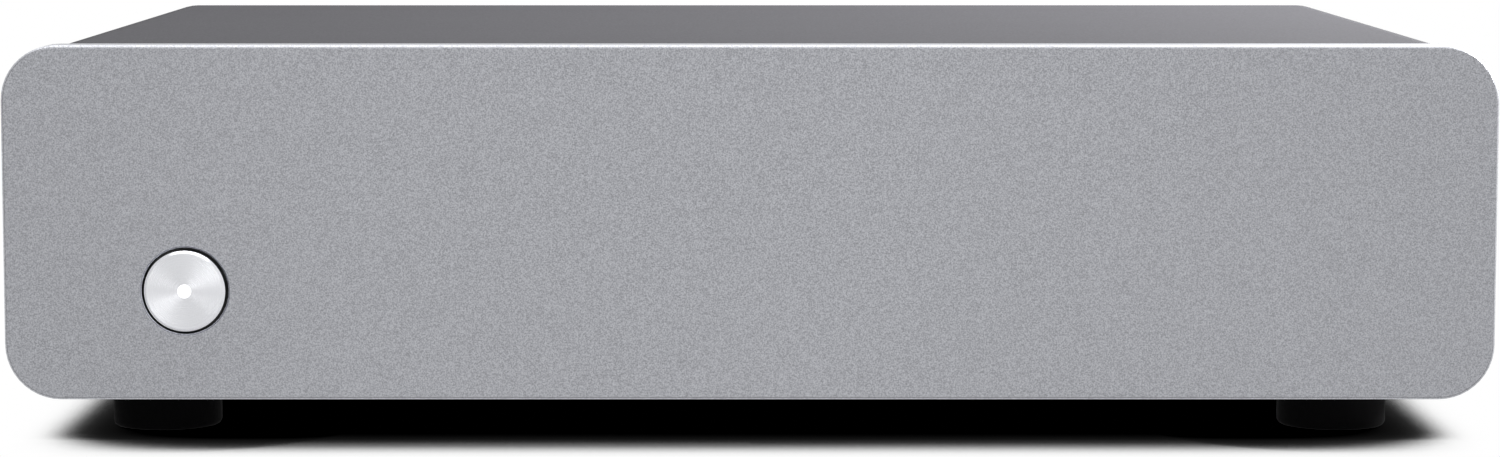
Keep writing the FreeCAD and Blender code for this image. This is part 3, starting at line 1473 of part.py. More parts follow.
def headers_and_leads():
    power_x = "power_board_right - supply_header_inset"
    main_x = "main_board_left + supply_header_inset"
    switch_x = "main_board_left + switch_header_right"
    switch_y = "main_board_front + header_edge_gap + header_depth / 2"
    spots = [(power_x, "lead_y", "board_top_z"), (main_x, "lead_y", "board_top_z"),
             (switch_x, switch_y, "board_top_z"),
             ("button_x", "switch_board_back_y", "button_z", TO_BACK)]
    group("board_headers", box_pattern("header", "header_width", "header_depth", "header_height"), spots)
    supply = new_body("supply_lead")
    half = "supply_lead_thickness / 2"
    top = "board_top_z + header_height"
    band = draw(supply, "XZ_Plane", "lead_y - supply_lead_width / 2")
    ceiling = f"{top} + supply_lead_rise"
    outline(band, [(f"{power_x} - {half}", top), (f"{power_x} - {half}", f"{ceiling} + {half}"),
                   (f"{main_x} + {half}", f"{ceiling} + {half}"), (f"{main_x} + {half}", top),
                   (f"{main_x} - {half}", top), (f"{main_x} - {half}", f"{ceiling} - {half}"),
                   (f"{power_x} + {half}", f"{ceiling} - {half}"), (f"{power_x} + {half}", top)])
    pad(band, "supply_lead_width")
    for bend, level in (("supply_lead_bend + supply_lead_thickness", f"{ceiling} + {half}"),
                        ("supply_lead_bend", f"{ceiling} - {half}")):
        height = value(level)
        fillet(supply, bend, lambda edge: along_y(edge) and at_height(edge, height))
    switch = new_body("switch_lead")
    thin = "switch_lead_thickness / 2"
    start = "switch_board_back_y + header_height"
    turn_y = f"{start} + switch_lead_stand"
    finish = f"{switch_y} - header_depth / 2"
    ribbon = draw(switch, "XY_Plane", "button_z - switch_lead_width / 2")
    near_turn = f"{turn_y} - {thin}"
    far_turn = f"{turn_y} + {thin}"
    outline(ribbon, [(f"button_x - {thin}", start), (f"button_x + {thin}", start),
                     (f"button_x + {thin}", near_turn), (f"{switch_x} + {thin}", near_turn),
                     (f"{switch_x} + {thin}", finish), (f"{switch_x} - {thin}", finish),
                     (f"{switch_x} - {thin}", far_turn), (f"button_x - {thin}", far_turn)])
    pad(ribbon, "switch_lead_width")


def at_height(edge, level):
    return all(abs(vertex.Point.z - level) < 1e-3 for vertex in edge.Vertexes)


# How many of each repeated feature there are
BALANCE_FLUTES = 15
GROUND_KNURLS = 32
SUPPLY_CAPACITORS = 3
SINK_FINS = 5
CHIP_LEGS_A_SIDE = 4
AMPLIFIER_COLUMNS = 4
FILM_COLUMNS = 7
SIGNAL_COLUMNS = 7
SMOOTHING_COLUMNS = 4
RESISTOR_COLUMNS = 12
RESISTOR_ROWS = 3
FILM_ROWS = 2
MUTE_RELAYS = 2
REGULATORS = 2
SPRING_POINTS_A_TURN = 24

fill_sheets()
front_fascia()
top_cover()
chassis_tray()
rear_panel()
feet()
case_screws()
tray_nuts()
power_button()
button_light_guide()
button_plunger()
button_spring()
button_housing()
switch_board()
button_screws()
power_switch()
switch_stem()
power_led()
boards()
jack_block("input_jack_block", "input_pair_x")
jack_block("output_jack_block", "output_pair_x")
jack_barrels()
jack_insulators()
balance_pot()
balance_shaft()
balance_nut()
balance_knob()
ground_terminal()
ground_nut()
ground_tag()
mains_inlet()
inlet_pins()
mains_parts()
power_transformer()
heat_sink()
chips()
phono_parts()
voltage_regulators()
headers_and_leads()
document.recompute()

for item in document.Objects:
    if "Invalid" in item.State or "Error" in item.State:
        raise RuntimeError(f"{item.Label} failed to build")
for piece in pieces:
    if piece.Shape.isNull() or not piece.Shape.isValid():
        raise RuntimeError(f"{piece.Label} is not a sound solid")

os.makedirs("parts", exist_ok=True)
for piece in pieces:
    piece.Shape.exportStep(f"parts/{piece.Label}.step")
print(len(pieces), "pieces")
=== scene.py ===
import math

import bmesh
import bpy
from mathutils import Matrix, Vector


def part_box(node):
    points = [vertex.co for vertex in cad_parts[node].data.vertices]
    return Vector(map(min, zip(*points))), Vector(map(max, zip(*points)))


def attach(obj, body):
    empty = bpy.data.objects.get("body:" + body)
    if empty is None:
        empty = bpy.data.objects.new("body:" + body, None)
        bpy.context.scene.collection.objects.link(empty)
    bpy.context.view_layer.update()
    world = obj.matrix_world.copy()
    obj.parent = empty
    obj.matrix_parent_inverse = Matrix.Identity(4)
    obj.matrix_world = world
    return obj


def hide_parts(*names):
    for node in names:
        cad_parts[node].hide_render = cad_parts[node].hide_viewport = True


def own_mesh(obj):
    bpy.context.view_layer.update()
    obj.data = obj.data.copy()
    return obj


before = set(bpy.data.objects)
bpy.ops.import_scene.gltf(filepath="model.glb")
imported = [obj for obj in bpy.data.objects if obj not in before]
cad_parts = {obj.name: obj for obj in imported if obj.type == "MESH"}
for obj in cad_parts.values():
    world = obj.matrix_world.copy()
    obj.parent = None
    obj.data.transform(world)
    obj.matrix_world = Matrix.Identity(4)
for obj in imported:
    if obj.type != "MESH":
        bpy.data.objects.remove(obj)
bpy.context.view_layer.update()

# A half-width phono preamplifier on a white floor. Metres, +Z up, the front faces -Y.
# The feet, the return spring, the line on the balance knob and the rear marks are modelled
# here. The other pieces come from the frame, and each gets the finish of its slot.

MM = 0.001


# Places in the frame

def middle_of(node):
    """The middle of a CAD node's box."""
    low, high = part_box(node)
    return (low + high) / 2


def socket_axes():
    """The axes of the four sockets. Each insulator's box ends one socket radius past an axis."""
    axes = []
    for node in ("red_insulators", "white_insulators"):
        low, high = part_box(node)
        radius = (high.z - low.z) / 2
        height = (high.z + low.z) / 2
        axes += [(low.x + radius, 0.0, height), (high.x - radius, 0.0, height)]
    return axes


FASCIA_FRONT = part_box("front_fascia")[0].y


# Working with meshes

def deselect():
    bpy.ops.object.select_all(action="DESELECT")


def pick(obj):
    """Make one object the only one selected, and the active one."""
    deselect()
    bpy.context.view_layer.objects.active = obj
    obj.select_set(True)


def edit(obj):
    """Open one object for editing, with nothing in it selected."""
    pick(obj)
    bpy.ops.object.mode_set(mode="EDIT")
    bpy.ops.mesh.select_all(action="DESELECT")


def edit_all(obj):
    """Open one object for editing, with all of it selected."""
    edit(obj)
    bpy.ops.mesh.select_all(action="SELECT")


def done(obj):
    bpy.ops.object.mode_set(mode="OBJECT")
    return obj


def select_faces(obj, test):
    """Select the faces whose centre and normal pass a test."""
    bpy.ops.mesh.select_all(action="DESELECT")
    bpy.ops.mesh.select_mode(type="FACE")
    mesh = bmesh.from_edit_mesh(obj.data)
    for face in mesh.faces:
        face.select = test(face.calc_center_median(), face.normal)
    mesh.select_flush_mode()
    bmesh.update_edit_mesh(obj.data)


def select_edges(obj, test):
    """Select the edges whose two ends both pass a test."""
    bpy.ops.mesh.select_all(action="DESELECT")
    bpy.ops.mesh.select_mode(type="EDGE")
    mesh = bmesh.from_edit_mesh(obj.data)
    for edge in mesh.edges:
        edge.select = test(edge.verts[0].co) and test(edge.verts[1].co)
    mesh.select_flush_mode()
    bmesh.update_edit_mesh(obj.data)


def named(name):
    """Name the object that an operator has just made."""
    obj = bpy.context.object
    obj.name = name
    obj.data.name = name
    return obj


def settle(obj):
    """Move the object's place, turn and scale into its mesh."""
    pick(obj)
    bpy.ops.object.transform_apply(location=True, rotation=True, scale=True)
    return obj


def smooth(obj, angle=30):
    """Shade smooth, except across edges sharper than an angle in degrees."""
    pick(obj)
    bpy.ops.object.shade_smooth_by_angle(angle=math.radians(angle))


def joined(parts, name):
    """One object out of several."""
    deselect()
    for part in parts:
        part.select_set(True)
    bpy.context.view_layer.objects.active = parts[0]
    bpy.ops.object.join()
    return named(name)


def copy_at(obj, shift):
    """A copy with its own mesh, moved within its mesh."""
    twin = obj.copy()
    twin.data = obj.data.copy()
    bpy.context.collection.objects.link(twin)
    twin.location = shift
    return settle(twin)


# Node helpers

def add(tree, kind, inputs=None, **settings):
    """A node with its settings. An input that is given a socket is linked to it."""
    node = tree.nodes.new(kind)
    for key, setting in settings.items():
        setattr(node, key, setting)
    for key, given in (inputs or {}).items():
        if isinstance(given, bpy.types.NodeSocket):
            tree.links.new(given, node.inputs[key])
        else:
            node.inputs[key].default_value = given
    return node


def math_node(tree, operation, first, second=0.0, third=0.0):
    inputs = {0: first, 1: second, 2: third}
    return add(tree, "ShaderNodeMath", inputs, operation=operation).outputs[0]


def vector_node(tree, operation, first, second=(0, 0, 0)):
    node = add(tree, "ShaderNodeVectorMath", {0: first, 1: second}, operation=operation)
    return node.outputs["Value" if operation == "LENGTH" else "Vector"]


def stretch(tree, value, low, high, new_low, new_high):
    """Map a value from one range to another and hold it there."""
    node = add(tree, "ShaderNodeMapRange",
               {"Value": value, "From Min": low, "From Max": high,
                "To Min": new_low, "To Max": new_high})
    return node.outputs["Result"]


def stepped(tree, value, level, steps, width):
    """A level that changes by the given amount at each given place."""
    for place, change in steps:
        rise = stretch(tree, value, place - width / 2, place + width / 2, 0.0, change)
        level = math_node(tree, "ADD", level, rise)
    return level


def varied(tree, *patterns):
    """A factor of 1 that is changed by a share of each pattern, which runs from -1 to 1."""
    factor = 1.0
    for pattern, share in patterns:
        factor = math_node(tree, "MULTIPLY_ADD", pattern, share, factor)
    return factor


def tinted(tree, colour, amount):
    """A colour made brighter or darker by a factor that varies over the surface."""
    node = add(tree, "ShaderNodeVectorMath", {0: colour, "Scale": amount}, operation="SCALE")
    return node.outputs["Vector"]


def two_tone(tree, mask, one, other):
    """One colour where the mask is 0, the other where it is 1."""
    change = [b - a for a, b in zip(one, other)]
    node = add(tree, "ShaderNodeVectorMath", {0: mask, 1: change, 2: one},
               operation="MULTIPLY_ADD")
    return node.outputs["Vector"]


def on_object(tree):
    """A point on the object, in the object's own coordinates."""
    return add(tree, "ShaderNodeTexCoord").outputs["Object"]


def place_of(tree):
    """The X, Y and Z of a point on the object."""
    return add(tree, "ShaderNodeSeparateXYZ", {0: on_object(tree)}).outputs


# Effects that several finishes share

def new_group(name, inputs, outputs):
    """An empty effect. An input is a vector where its start value is one, or else a float."""
    group = bpy.data.node_groups.new(name, "ShaderNodeTree")
    for label, start in inputs.items():
        kind = "NodeSocketVector" if isinstance(start, tuple) else "NodeSocketFloat"
        socket = group.interface.new_socket(label, in_out="INPUT", socket_type=kind)
        socket.default_value = start
    for label in outputs:
        group.interface.new_socket(label, in_out="OUTPUT", socket_type="NodeSocketFloat")
    given = group.nodes.new("NodeGroupInput").outputs
    out = group.nodes.new("NodeGroupOutput").inputs
    return group, given, out


def spread(group, noise, reach):
    """A noise that stays within a reach of 0.5, brought to a pattern from -1 to 1."""
    return stretch(group, noise.outputs["Fac"], 0.5 - reach, 0.5 + reach, -1.0, 1.0)


def grain_effect():
    """Fine even speckle, as on blasted metal and powder coat. Size is in metres."""
    group, given, out = new_group("Grain", {"Where": (0, 0, 0), "Size": 0.4 * MM},
                                  ["Speckle", "Height"])
    scale = math_node(group, "DIVIDE", 1.0, given["Size"])
    fine = add(group, "ShaderNodeTexNoise",
               {"Vector": given["Where"], "Scale": scale, "Detail": 1.0, "Roughness": 0.6})
    group.links.new(spread(group, fine, 0.22), out["Speckle"])
    group.links.new(fine.outputs["Fac"], out["Height"])
    return group


def cloud_effect():
    """Slow, soft unevenness of a finish across a whole panel."""
    group, given, out = new_group("Cloud", {"Where": (0, 0, 0), "Size": 30 * MM}, ["Cloud"])
    scale = math_node(group, "DIVIDE", 1.0, given["Size"])
    slow = add(group, "ShaderNodeTexNoise",
               {"Vector": given["Where"], "Scale": scale, "Detail": 3.0, "Roughness": 0.5})
    group.links.new(spread(group, slow, 0.2), out["Cloud"])
    return group


def brushed_effect():
    """Long fine lines that run along X, as on rolled or brushed sheet."""
    group, given, out = new_group("Brushed", {"Where": (0, 0, 0), "Size": 0.2 * MM}, ["Lines"])
    squeezed = add(group, "ShaderNodeMapping",
                   {"Vector": given["Where"], "Scale": (0.03, 1.0, 1.0)})
    scale = math_node(group, "DIVIDE", 1.0, given["Size"])
    lines = add(group, "ShaderNodeTexNoise",
                {"Vector": squeezed.outputs["Vector"], "Scale": scale, "Detail": 2.0})
    group.links.new(spread(group, lines, 0.2), out["Lines"])
    return group


def radius_effect():
    """How far a point is from an axis that runs along Y."""
    group, given, out = new_group("Radius", {"Where": (0, 0, 0), "Centre": (0, 0, 0)},
                                  ["Radius"])
    away = vector_node(group, "SUBTRACT", given["Where"], given["Centre"])
    flat = vector_node(group, "MULTIPLY", away, (1, 0, 1))
    group.links.new(vector_node(group, "LENGTH", flat), out["Radius"])
    return group


def turned_effect():
    """Fine rings, as a lathe tool leaves them, against the distance from the axis."""
    group, given, out = new_group("Turned", {"Radius": 0.0, "Pitch": 0.12 * MM}, ["Rings"])
    steps = math_node(group, "DIVIDE", given["Radius"], given["Pitch"])
    rings = add(group, "ShaderNodeTexNoise", {"W": steps, "Scale": 1.0, "Detail": 1.0},
                noise_dimensions="1D")
    group.links.new(spread(group, rings, 0.2), out["Rings"])
    return group


GRAIN = grain_effect()
CLOUD = cloud_effect()
BRUSHED = brushed_effect()
RADIUS = radius_effect()
TURNED = turned_effect()


def effect(tree, group, inputs):
    """Place a shared effect in a material, reading the object's own coordinates."""
    inputs = {"Where": on_object(tree), **inputs}
    return add(tree, "ShaderNodeGroup", inputs, node_tree=group).outputs


def cloud_of(tree, size):
    return effect(tree, CLOUD, {"Size": size})["Cloud"]


def nearest_radius(tree, centres):
    """The distance from the nearest of several axes along Y."""
    radii = [effect(tree, RADIUS, {"Centre": centre})["Radius"] for centre in centres]
    nearest = radii[0]
    for radius in radii[1:]:
        nearest = math_node(tree, "MINIMUM", nearest, radius)
    return nearest


def turned_rings(tree, radius, pitch):
    inputs = {"Radius": radius, "Pitch": pitch}
    return add(tree, "ShaderNodeGroup", inputs, node_tree=TURNED).outputs["Rings"]


# Working with a finish

def new_finish(name, **fixed):
    """A material with one Principled shader and the numbers that are the same all over it."""
    material = bpy.data.materials.new(name)
    material.use_nodes = True
    tree = material.node_tree
    shader = tree.nodes["Principled BSDF"]
    for key, setting in fixed.items():
        shader.inputs[key.replace("_", " ")].default_value = setting
    return material, tree, shader


def paint(tree, shader, colour, factor):
    """The colour, brighter or darker by a factor."""
    tree.links.new(tinted(tree, colour, factor), shader.inputs["Base Color"])


def polish(tree, shader, pattern, low, high):
    """The roughness, from one value where a pattern is -1 to another where it is 1."""
    tree.links.new(stretch(tree, pattern, -1.0, 1.0, low, high), shader.inputs["Roughness"])


def bump(tree, shader, height, depth, strength):
    """A relief of a real depth in metres."""
    node = add(tree, "ShaderNodeBump",
               {"Height": height, "Distance": depth, "Strength": strength})
    tree.links.new(node.outputs["Normal"], shader.inputs["Normal"])


def tone(material, amount):
    """Brighten or darken a finish by a factor that varies over the surface."""
    tree = material.node_tree
    base = tree.nodes["Principled BSDF"].inputs["Base Color"]
    tree.links.new(tinted(tree, base.links[0].from_socket, amount), base)


# Finishes

def blasted_aluminium(name, colour, roughness, grain_size, contrast, depth):
    """Bead-blasted and anodised: an even metal with a fine sparkle."""
    material, tree, shader = new_finish(name, Metallic=1.0)
    grain = effect(tree, GRAIN, {"Size": grain_size})
    factor = varied(tree, (grain["Speckle"], contrast), (cloud_of(tree, 50 * MM), 0.012),
                    (cloud_of(tree, 2.5 * MM), 0.007))
    paint(tree, shader, colour, factor)
    polish(tree, shader, grain["Speckle"], roughness + 0.05, roughness - 0.05)
    bump(tree, shader, grain["Height"], depth, 0.5)
    return material


# The fascia's edge has a fillet and a bevel, with a painted highlight line on it: how far behind
# the front each band of it starts, and how its brightness changes there.
BEVEL_HIGHLIGHT_BANDS = ((0.015 * MM, -0.22), (0.18 * MM, 0.62), (0.42 * MM, -0.4))

# The button's hole, by the distance from its axis: where its wall, darkened as painted shade,
# ends and its chamfer, brightened as a painted highlight, begins, and where the chamfer meets the
# front.
HOLE_WALL_SHADE = 0.1
HOLE_CHAMFER = 6.265 * MM
HOLE_EDGE = 6.56 * MM

# How soft the change from one of these bands to the next is.
BAND_BLUR = 0.02 * MM


def fascia_metal():
    """Blasted aluminium with a painted highlight line on its bevelled edge. The edge of the
    button's hole is cut after the blasting, so it is smoother; its chamfer gets a painted
    highlight, and the wall behind it, where no light reaches, painted shade."""
    material = blasted_aluminium("Blasted aluminium", (0.335, 0.34, 0.362), roughness=0.46,
                                 grain_size=0.21 * MM, contrast=0.25, depth=0.02 * MM)
    tree = material.node_tree
    # Painted light: the front band of the edge darker, the band behind it a painted highlight.
    bands = [(FASCIA_FRONT + behind, change) for behind, change in BEVEL_HIGHLIGHT_BANDS]
    line = stepped(tree, place_of(tree)["Y"], 1.0, bands, BAND_BLUR)
    radius = nearest_radius(tree, [middle_of("power_button")])
    # Painted shade on the hole's wall, and a painted highlight 1.6 times as bright on its
    # chamfer.
    hole = stepped(tree, radius, HOLE_WALL_SHADE, ((HOLE_CHAMFER, 1.5), (HOLE_EDGE, -0.6)),
                   BAND_BLUR)
    tone(material, math_node(tree, "MULTIPLY", line, hole))
    smoother = stepped(tree, radius, 0.0, ((HOLE_CHAMFER, -0.12), (HOLE_EDGE, 0.12)), BAND_BLUR)
    rough = tree.nodes["Principled BSDF"].inputs["Roughness"]
    tree.links.new(math_node(tree, "ADD", rough.links[0].from_socket, smoother), rough)
    return material


def powder_coat(name, colour, roughness, specular, grain_size, contrast, depth):
    """Baked paint with a fine orange-peel grain."""
    material, tree, shader = new_finish(name, Specular_IOR_Level=specular)
    grain = effect(tree, GRAIN, {"Size": grain_size})
    cloud = cloud_of(tree, 40 * MM)
    paint(tree, shader, colour, varied(tree, (grain["Speckle"], contrast), (cloud, 0.02)))
    polish(tree, shader, cloud, roughness - 0.03, roughness + 0.03)
    bump(tree, shader, grain["Height"], depth, 0.6)
    return material


def plated_sheet(name, colour, roughness, streak):
    """Plated or bare metal with rolling lines and a faint mottle."""
    material, tree, shader = new_finish(name, Metallic=1.0)
    lines = effect(tree, BRUSHED, {"Size": 0.2 * MM})["Lines"]
    paint(tree, shader, colour, varied(tree, (cloud_of(tree, 8 * MM), 0.05), (lines, streak)))
    polish(tree, shader, lines, roughness - 0.06, roughness + 0.06)
    bump(tree, shader, lines, 0.004 * MM, 0.4)
    return material


def turned_metal(name, colour, roughness, centres, pitch):
    """Lathe-turned metal with fine rings about the nearest of its axes."""
    material, tree, shader = new_finish(name, Metallic=1.0)
    rings = turned_rings(tree, nearest_radius(tree, centres), pitch)
    paint(tree, shader, colour, varied(tree, (cloud_of(tree, 4 * MM), 0.015), (rings, 0.03)))
    polish(tree, shader, rings, roughness - 0.04, roughness + 0.04)
    bump(tree, shader, rings, 0.003 * MM, 0.4)
    return material


def moulded_plastic(name, colour, roughness, grain_size=0.6 * MM, depth=0.01 * MM, specular=0.5):
    """Injection-moulded plastic with a light tool grain."""
    material, tree, shader = new_finish(name, Specular_IOR_Level=specular)
    grain = effect(tree, GRAIN, {"Size": grain_size})
    paint(tree, shader, colour, varied(tree, (cloud_of(tree, 12 * MM), 0.04)))
    polish(tree, shader, grain["Speckle"], roughness - 0.05, roughness + 0.05)
    bump(tree, shader, grain["Height"], depth, 0.5)
    return material


def foot_rubber():
    """Black rubber, darker than rubber is so that the feet sink into the shade under the case:
    painted shade. The tread, seen only from below, is five times lighter, near a plain rubber
    black.
    """
    material = moulded_plastic("Foot rubber", (0.0035, 0.0035, 0.0037), roughness=0.85,
                               grain_size=0.5 * MM, depth=0.03 * MM, specular=0.02)
    tree = material.node_tree
    # Painted shade everywhere but the tread, which is lifted five times back towards rubber
    # black.
    tone(material, stretch(tree, place_of(tree)["Z"], 0.02 * MM, 0.12 * MM, 5.0, 1.0))
    return material


# The button's cap: the radius where its rim begins, which gets a painted highlight, and how far
# behind the fascia's front its side turns dark with painted shade.
CAP_HIGHLIGHT_RIM = 5.5 * MM
CAP_SHADE = 0.3 * MM


def spun_button_metal():
    """A bright turned face whose rings drag the light out sideways, about the button's axis.
    The rim is a painted highlight, and the cap's side is dark with painted shade, because it
    is down in the gap."""
    middle = middle_of("power_button")
    material, tree, shader = new_finish("Spun aluminium", Metallic=1.0, Anisotropic=0.85)
    away = vector_node(tree, "SUBTRACT", on_object(tree), middle)
    spoke = vector_node(tree, "MULTIPLY", away, (1, 0, 1))
    tree.links.new(vector_node(tree, "NORMALIZE", spoke), shader.inputs["Tangent"])
    radius = nearest_radius(tree, [middle])
    rings = turned_rings(tree, radius, 0.07 * MM)
    # Painted highlight: the rim a third brighter than the face.
    rim_highlight = stepped(tree, radius, 1.0, ((CAP_HIGHLIGHT_RIM, 0.35),), 0.04 * MM)
    face = math_node(tree, "MULTIPLY_ADD", rings, 0.02, rim_highlight)
    # Painted shade: the cap's side down in the gap nearly black.
    side = stepped(tree, place_of(tree)["Y"], 1.0, ((FASCIA_FRONT + CAP_SHADE, -0.92),), 0.1 * MM)
    paint(tree, shader, (0.665, 0.67, 0.695), math_node(tree, "MULTIPLY", face, side))
    polish(tree, shader, rings, 0.27, 0.31)
    bump(tree, shader, rings, 0.002 * MM, 0.3)
    return material


def glowing_guide():
    """Frosted clear plastic, lit from behind and a little dimmer at its edge."""
    material, tree, shader = new_finish("Lit light guide", Roughness=0.35, Emission_Strength=1.0)
    even = stretch(tree, cloud_of(tree, 0.6 * MM), -1.0, 1.0, 0.97, 1.03)
    radius = nearest_radius(tree, [middle_of("button_light_guide")])
    edge = stretch(tree, radius, 0.85 * MM, 1.0 * MM, 1.0, 0.75)
    glow = math_node(tree, "MULTIPLY", even, edge)
    tree.links.new(tinted(tree, (1.0, 1.0, 1.0), glow), shader.inputs["Emission Color"])
    paint(tree, shader, (0.85, 0.86, 0.88), glow)
    return material


def board_laminate():
    """Green solder resist over copper tracks that run both ways."""
    material, tree, shader = new_finish("Board laminate")
    tracks = add(tree, "ShaderNodeTexBrick",
                 {"Vector": on_object(tree), "Scale": 60.0, "Mortar Size": 0.03,
                  "Brick Width": 0.9, "Row Height": 0.3}).outputs["Fac"]
    colour = two_tone(tree, tracks, (0.03, 0.19, 0.06), (0.012, 0.10, 0.035))
    cloud = cloud_of(tree, 10 * MM)
    paint(tree, shader, colour, stretch(tree, cloud, -1.0, 1.0, 0.92, 1.08))
    polish(tree, shader, cloud, 0.3, 0.42)
    bump(tree, shader, tracks, 0.03 * MM, 0.5)
    return material


def fuse_glass():
    """Clear glass with a faint unevenness."""
    material, tree, shader = new_finish("Fuse glass", Transmission_Weight=0.9, IOR=1.5)
    cloud = cloud_of(tree, 3 * MM)
    paint(tree, shader, (0.9, 0.93, 0.92), stretch(tree, cloud, -1.0, 1.0, 0.96, 1.02))
    polish(tree, shader, cloud, 0.04, 0.09)
    return material


def make_finishes():
    """One finish for each of the record's slots."""
    return {
        "fascia_metal": fascia_metal(),
        "button_metal": spun_button_metal(),
        "light_guide": glowing_guide(),
        "foot_rubber": foot_rubber(),
        "board_laminate": board_laminate(),
        "fuse_glass": fuse_glass(),

        "cover_paint": powder_coat(
            "Cover powder coat", (0.052, 0.0513, 0.056), roughness=0.8, specular=0.05,
            grain_size=0.37 * MM, contrast=0.22, depth=0.01 * MM),
        "panel_paint": powder_coat(
            "Rear panel powder coat", (0.022, 0.022, 0.024), roughness=0.48, specular=0.5,
            grain_size=0.5 * MM, contrast=0.12, depth=0.02 * MM),
        "black_steel": powder_coat(
            "Blackened steel", (0.03, 0.03, 0.032), roughness=0.36, specular=0.6,
            grain_size=0.3 * MM, contrast=0.1, depth=0.006 * MM),
        "ferrite": powder_coat(
            "Ferrite", (0.045, 0.045, 0.05), roughness=0.6, specular=0.4,
            grain_size=0.6 * MM, contrast=0.15, depth=0.03 * MM),
        "sink_metal": blasted_aluminium(
            "Black anodised sink", (0.04, 0.04, 0.042), roughness=0.42,
            grain_size=0.4 * MM, contrast=0.1, depth=0.01 * MM),

        "tray_steel": plated_sheet("Zinc-plated sheet", (0.58, 0.58, 0.57), 0.38, 0.04),
        "zinc_steel": plated_sheet("Zinc-plated fasteners", (0.62, 0.62, 0.60), 0.32, 0.03),
        "spring_steel": plated_sheet("Spring steel", (0.5, 0.5, 0.52), 0.3, 0.02),
        "pot_metal": plated_sheet("Control case", (0.55, 0.54, 0.5), 0.35, 0.03),
        "copper_wire": plated_sheet("Copper winding", (0.72, 0.33, 0.14), 0.35, 0.15),

        "brass_plate": turned_metal("Gold-washed brass", (0.78, 0.56, 0.22), 0.25,
                                    [middle_of("ground_post")], pitch=0.3 * MM),
        "socket_metal": turned_metal("Plated socket barrels", (0.82, 0.66, 0.36), 0.22,
                                     socket_axes(), pitch=0.2 * MM),

        "black_plastic": moulded_plastic("Black moulding", (0.02, 0.02, 0.022), 0.45),
        "white_plastic": moulded_plastic("White moulding", (0.78, 0.77, 0.74), 0.38),
        "red_plastic": moulded_plastic("Red moulding", (0.55, 0.025, 0.02), 0.38),
        "knob_plastic": moulded_plastic("Knob moulding", (0.025, 0.025, 0.027), 0.5,
                                        grain_size=0.4 * MM, depth=0.02 * MM),
        "relay_plastic": moulded_plastic("Relay case", (0.05, 0.05, 0.052), 0.35),
        "led_resin": moulded_plastic("Lamp resin", (0.85, 0.85, 0.8), 0.2),
        "lead_sleeve": moulded_plastic("Lead sleeve", (0.09, 0.09, 0.095), 0.5),
        "capacitor_yellow": moulded_plastic("Yellow film case", (0.62, 0.38, 0.04), 0.4),
        "capacitor_red": moulded_plastic("Red film case", (0.42, 0.05, 0.03), 0.35),
        "capacitor_sleeve": moulded_plastic("Capacitor sleeve", (0.03, 0.04, 0.1), 0.3),
    }


finishes = make_finishes()
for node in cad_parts.values():
    for place in node.material_slots:
        place.material = finishes[place.material.name]


# Feet

FOOT_RADIUS = 8.0 * MM
GROOVE_RADIUS = 5.2 * MM  # where the tread ends and the groove round the well begins
GROOVE_SLOPE = 0.5 * MM
GROOVE_DEPTH = 0.4 * MM
GROOVE_WIDTH = 1.1 * MM
WELL_SPARE = 0.4 * MM  # how far the well's floor is from the screw's head
TREAD_ROUNDING = 0.8 * MM
TOP_RIM = 0.6 * MM


def rubber_feet():
    """Four moulded feet, each with a rounded tread and a groove round the well for its screw."""
    low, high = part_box("feet")
    height = high.z - low.z
    centre = Vector((low.x + FOOT_RADIUS, low.y + FOOT_RADIUS, height / 2))

    def at_outer_edge(point):
        out = math.hypot(point.x - centre.x, point.y - centre.y)
        return abs(point.z) < 0.01 * MM and out > FOOT_RADIUS - 0.1 * MM

    deselect()
    bpy.ops.mesh.primitive_cylinder_add(vertices=64, radius=FOOT_RADIUS, depth=height,
                                        location=centre)
    foot = settle(named("rubber_feet"))
    edit(foot)
    select_faces(foot, lambda spot, normal: normal.z < -0.9)
    bpy.ops.mesh.inset(thickness=FOOT_RADIUS - GROOVE_RADIUS)
    bpy.ops.mesh.inset(thickness=GROOVE_SLOPE)
    bpy.ops.transform.translate(value=(0, 0, GROOVE_DEPTH))
    bpy.ops.mesh.inset(thickness=GROOVE_WIDTH)
    well_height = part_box("foot_screws")[0].z - WELL_SPARE - GROOVE_DEPTH
    bpy.ops.mesh.extrude_region_move(TRANSFORM_OT_translate={"value": (0, 0, well_height)})
    select_faces(foot, lambda spot, normal: normal.z > 0.9 and spot.z > height - 0.1 * MM)
    bpy.ops.mesh.inset(thickness=TOP_RIM)
    select_edges(foot, at_outer_edge)
    bpy.ops.mesh.bevel(offset=TREAD_ROUNDING, segments=4)
    done(foot)
    smooth(foot)
    across = high.x - low.x - 2 * FOOT_RADIUS
    back = high.y - low.y - 2 * FOOT_RADIUS
    others = [copy_at(foot, shift) for shift in ((across, 0, 0), (0, back, 0), (across, back, 0))]
    feet = joined([foot] + others, "rubber_feet")
    feet.data.materials.append(finishes["foot_rubber"])
    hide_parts("feet")
    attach(feet, "chassis")


# Return spring

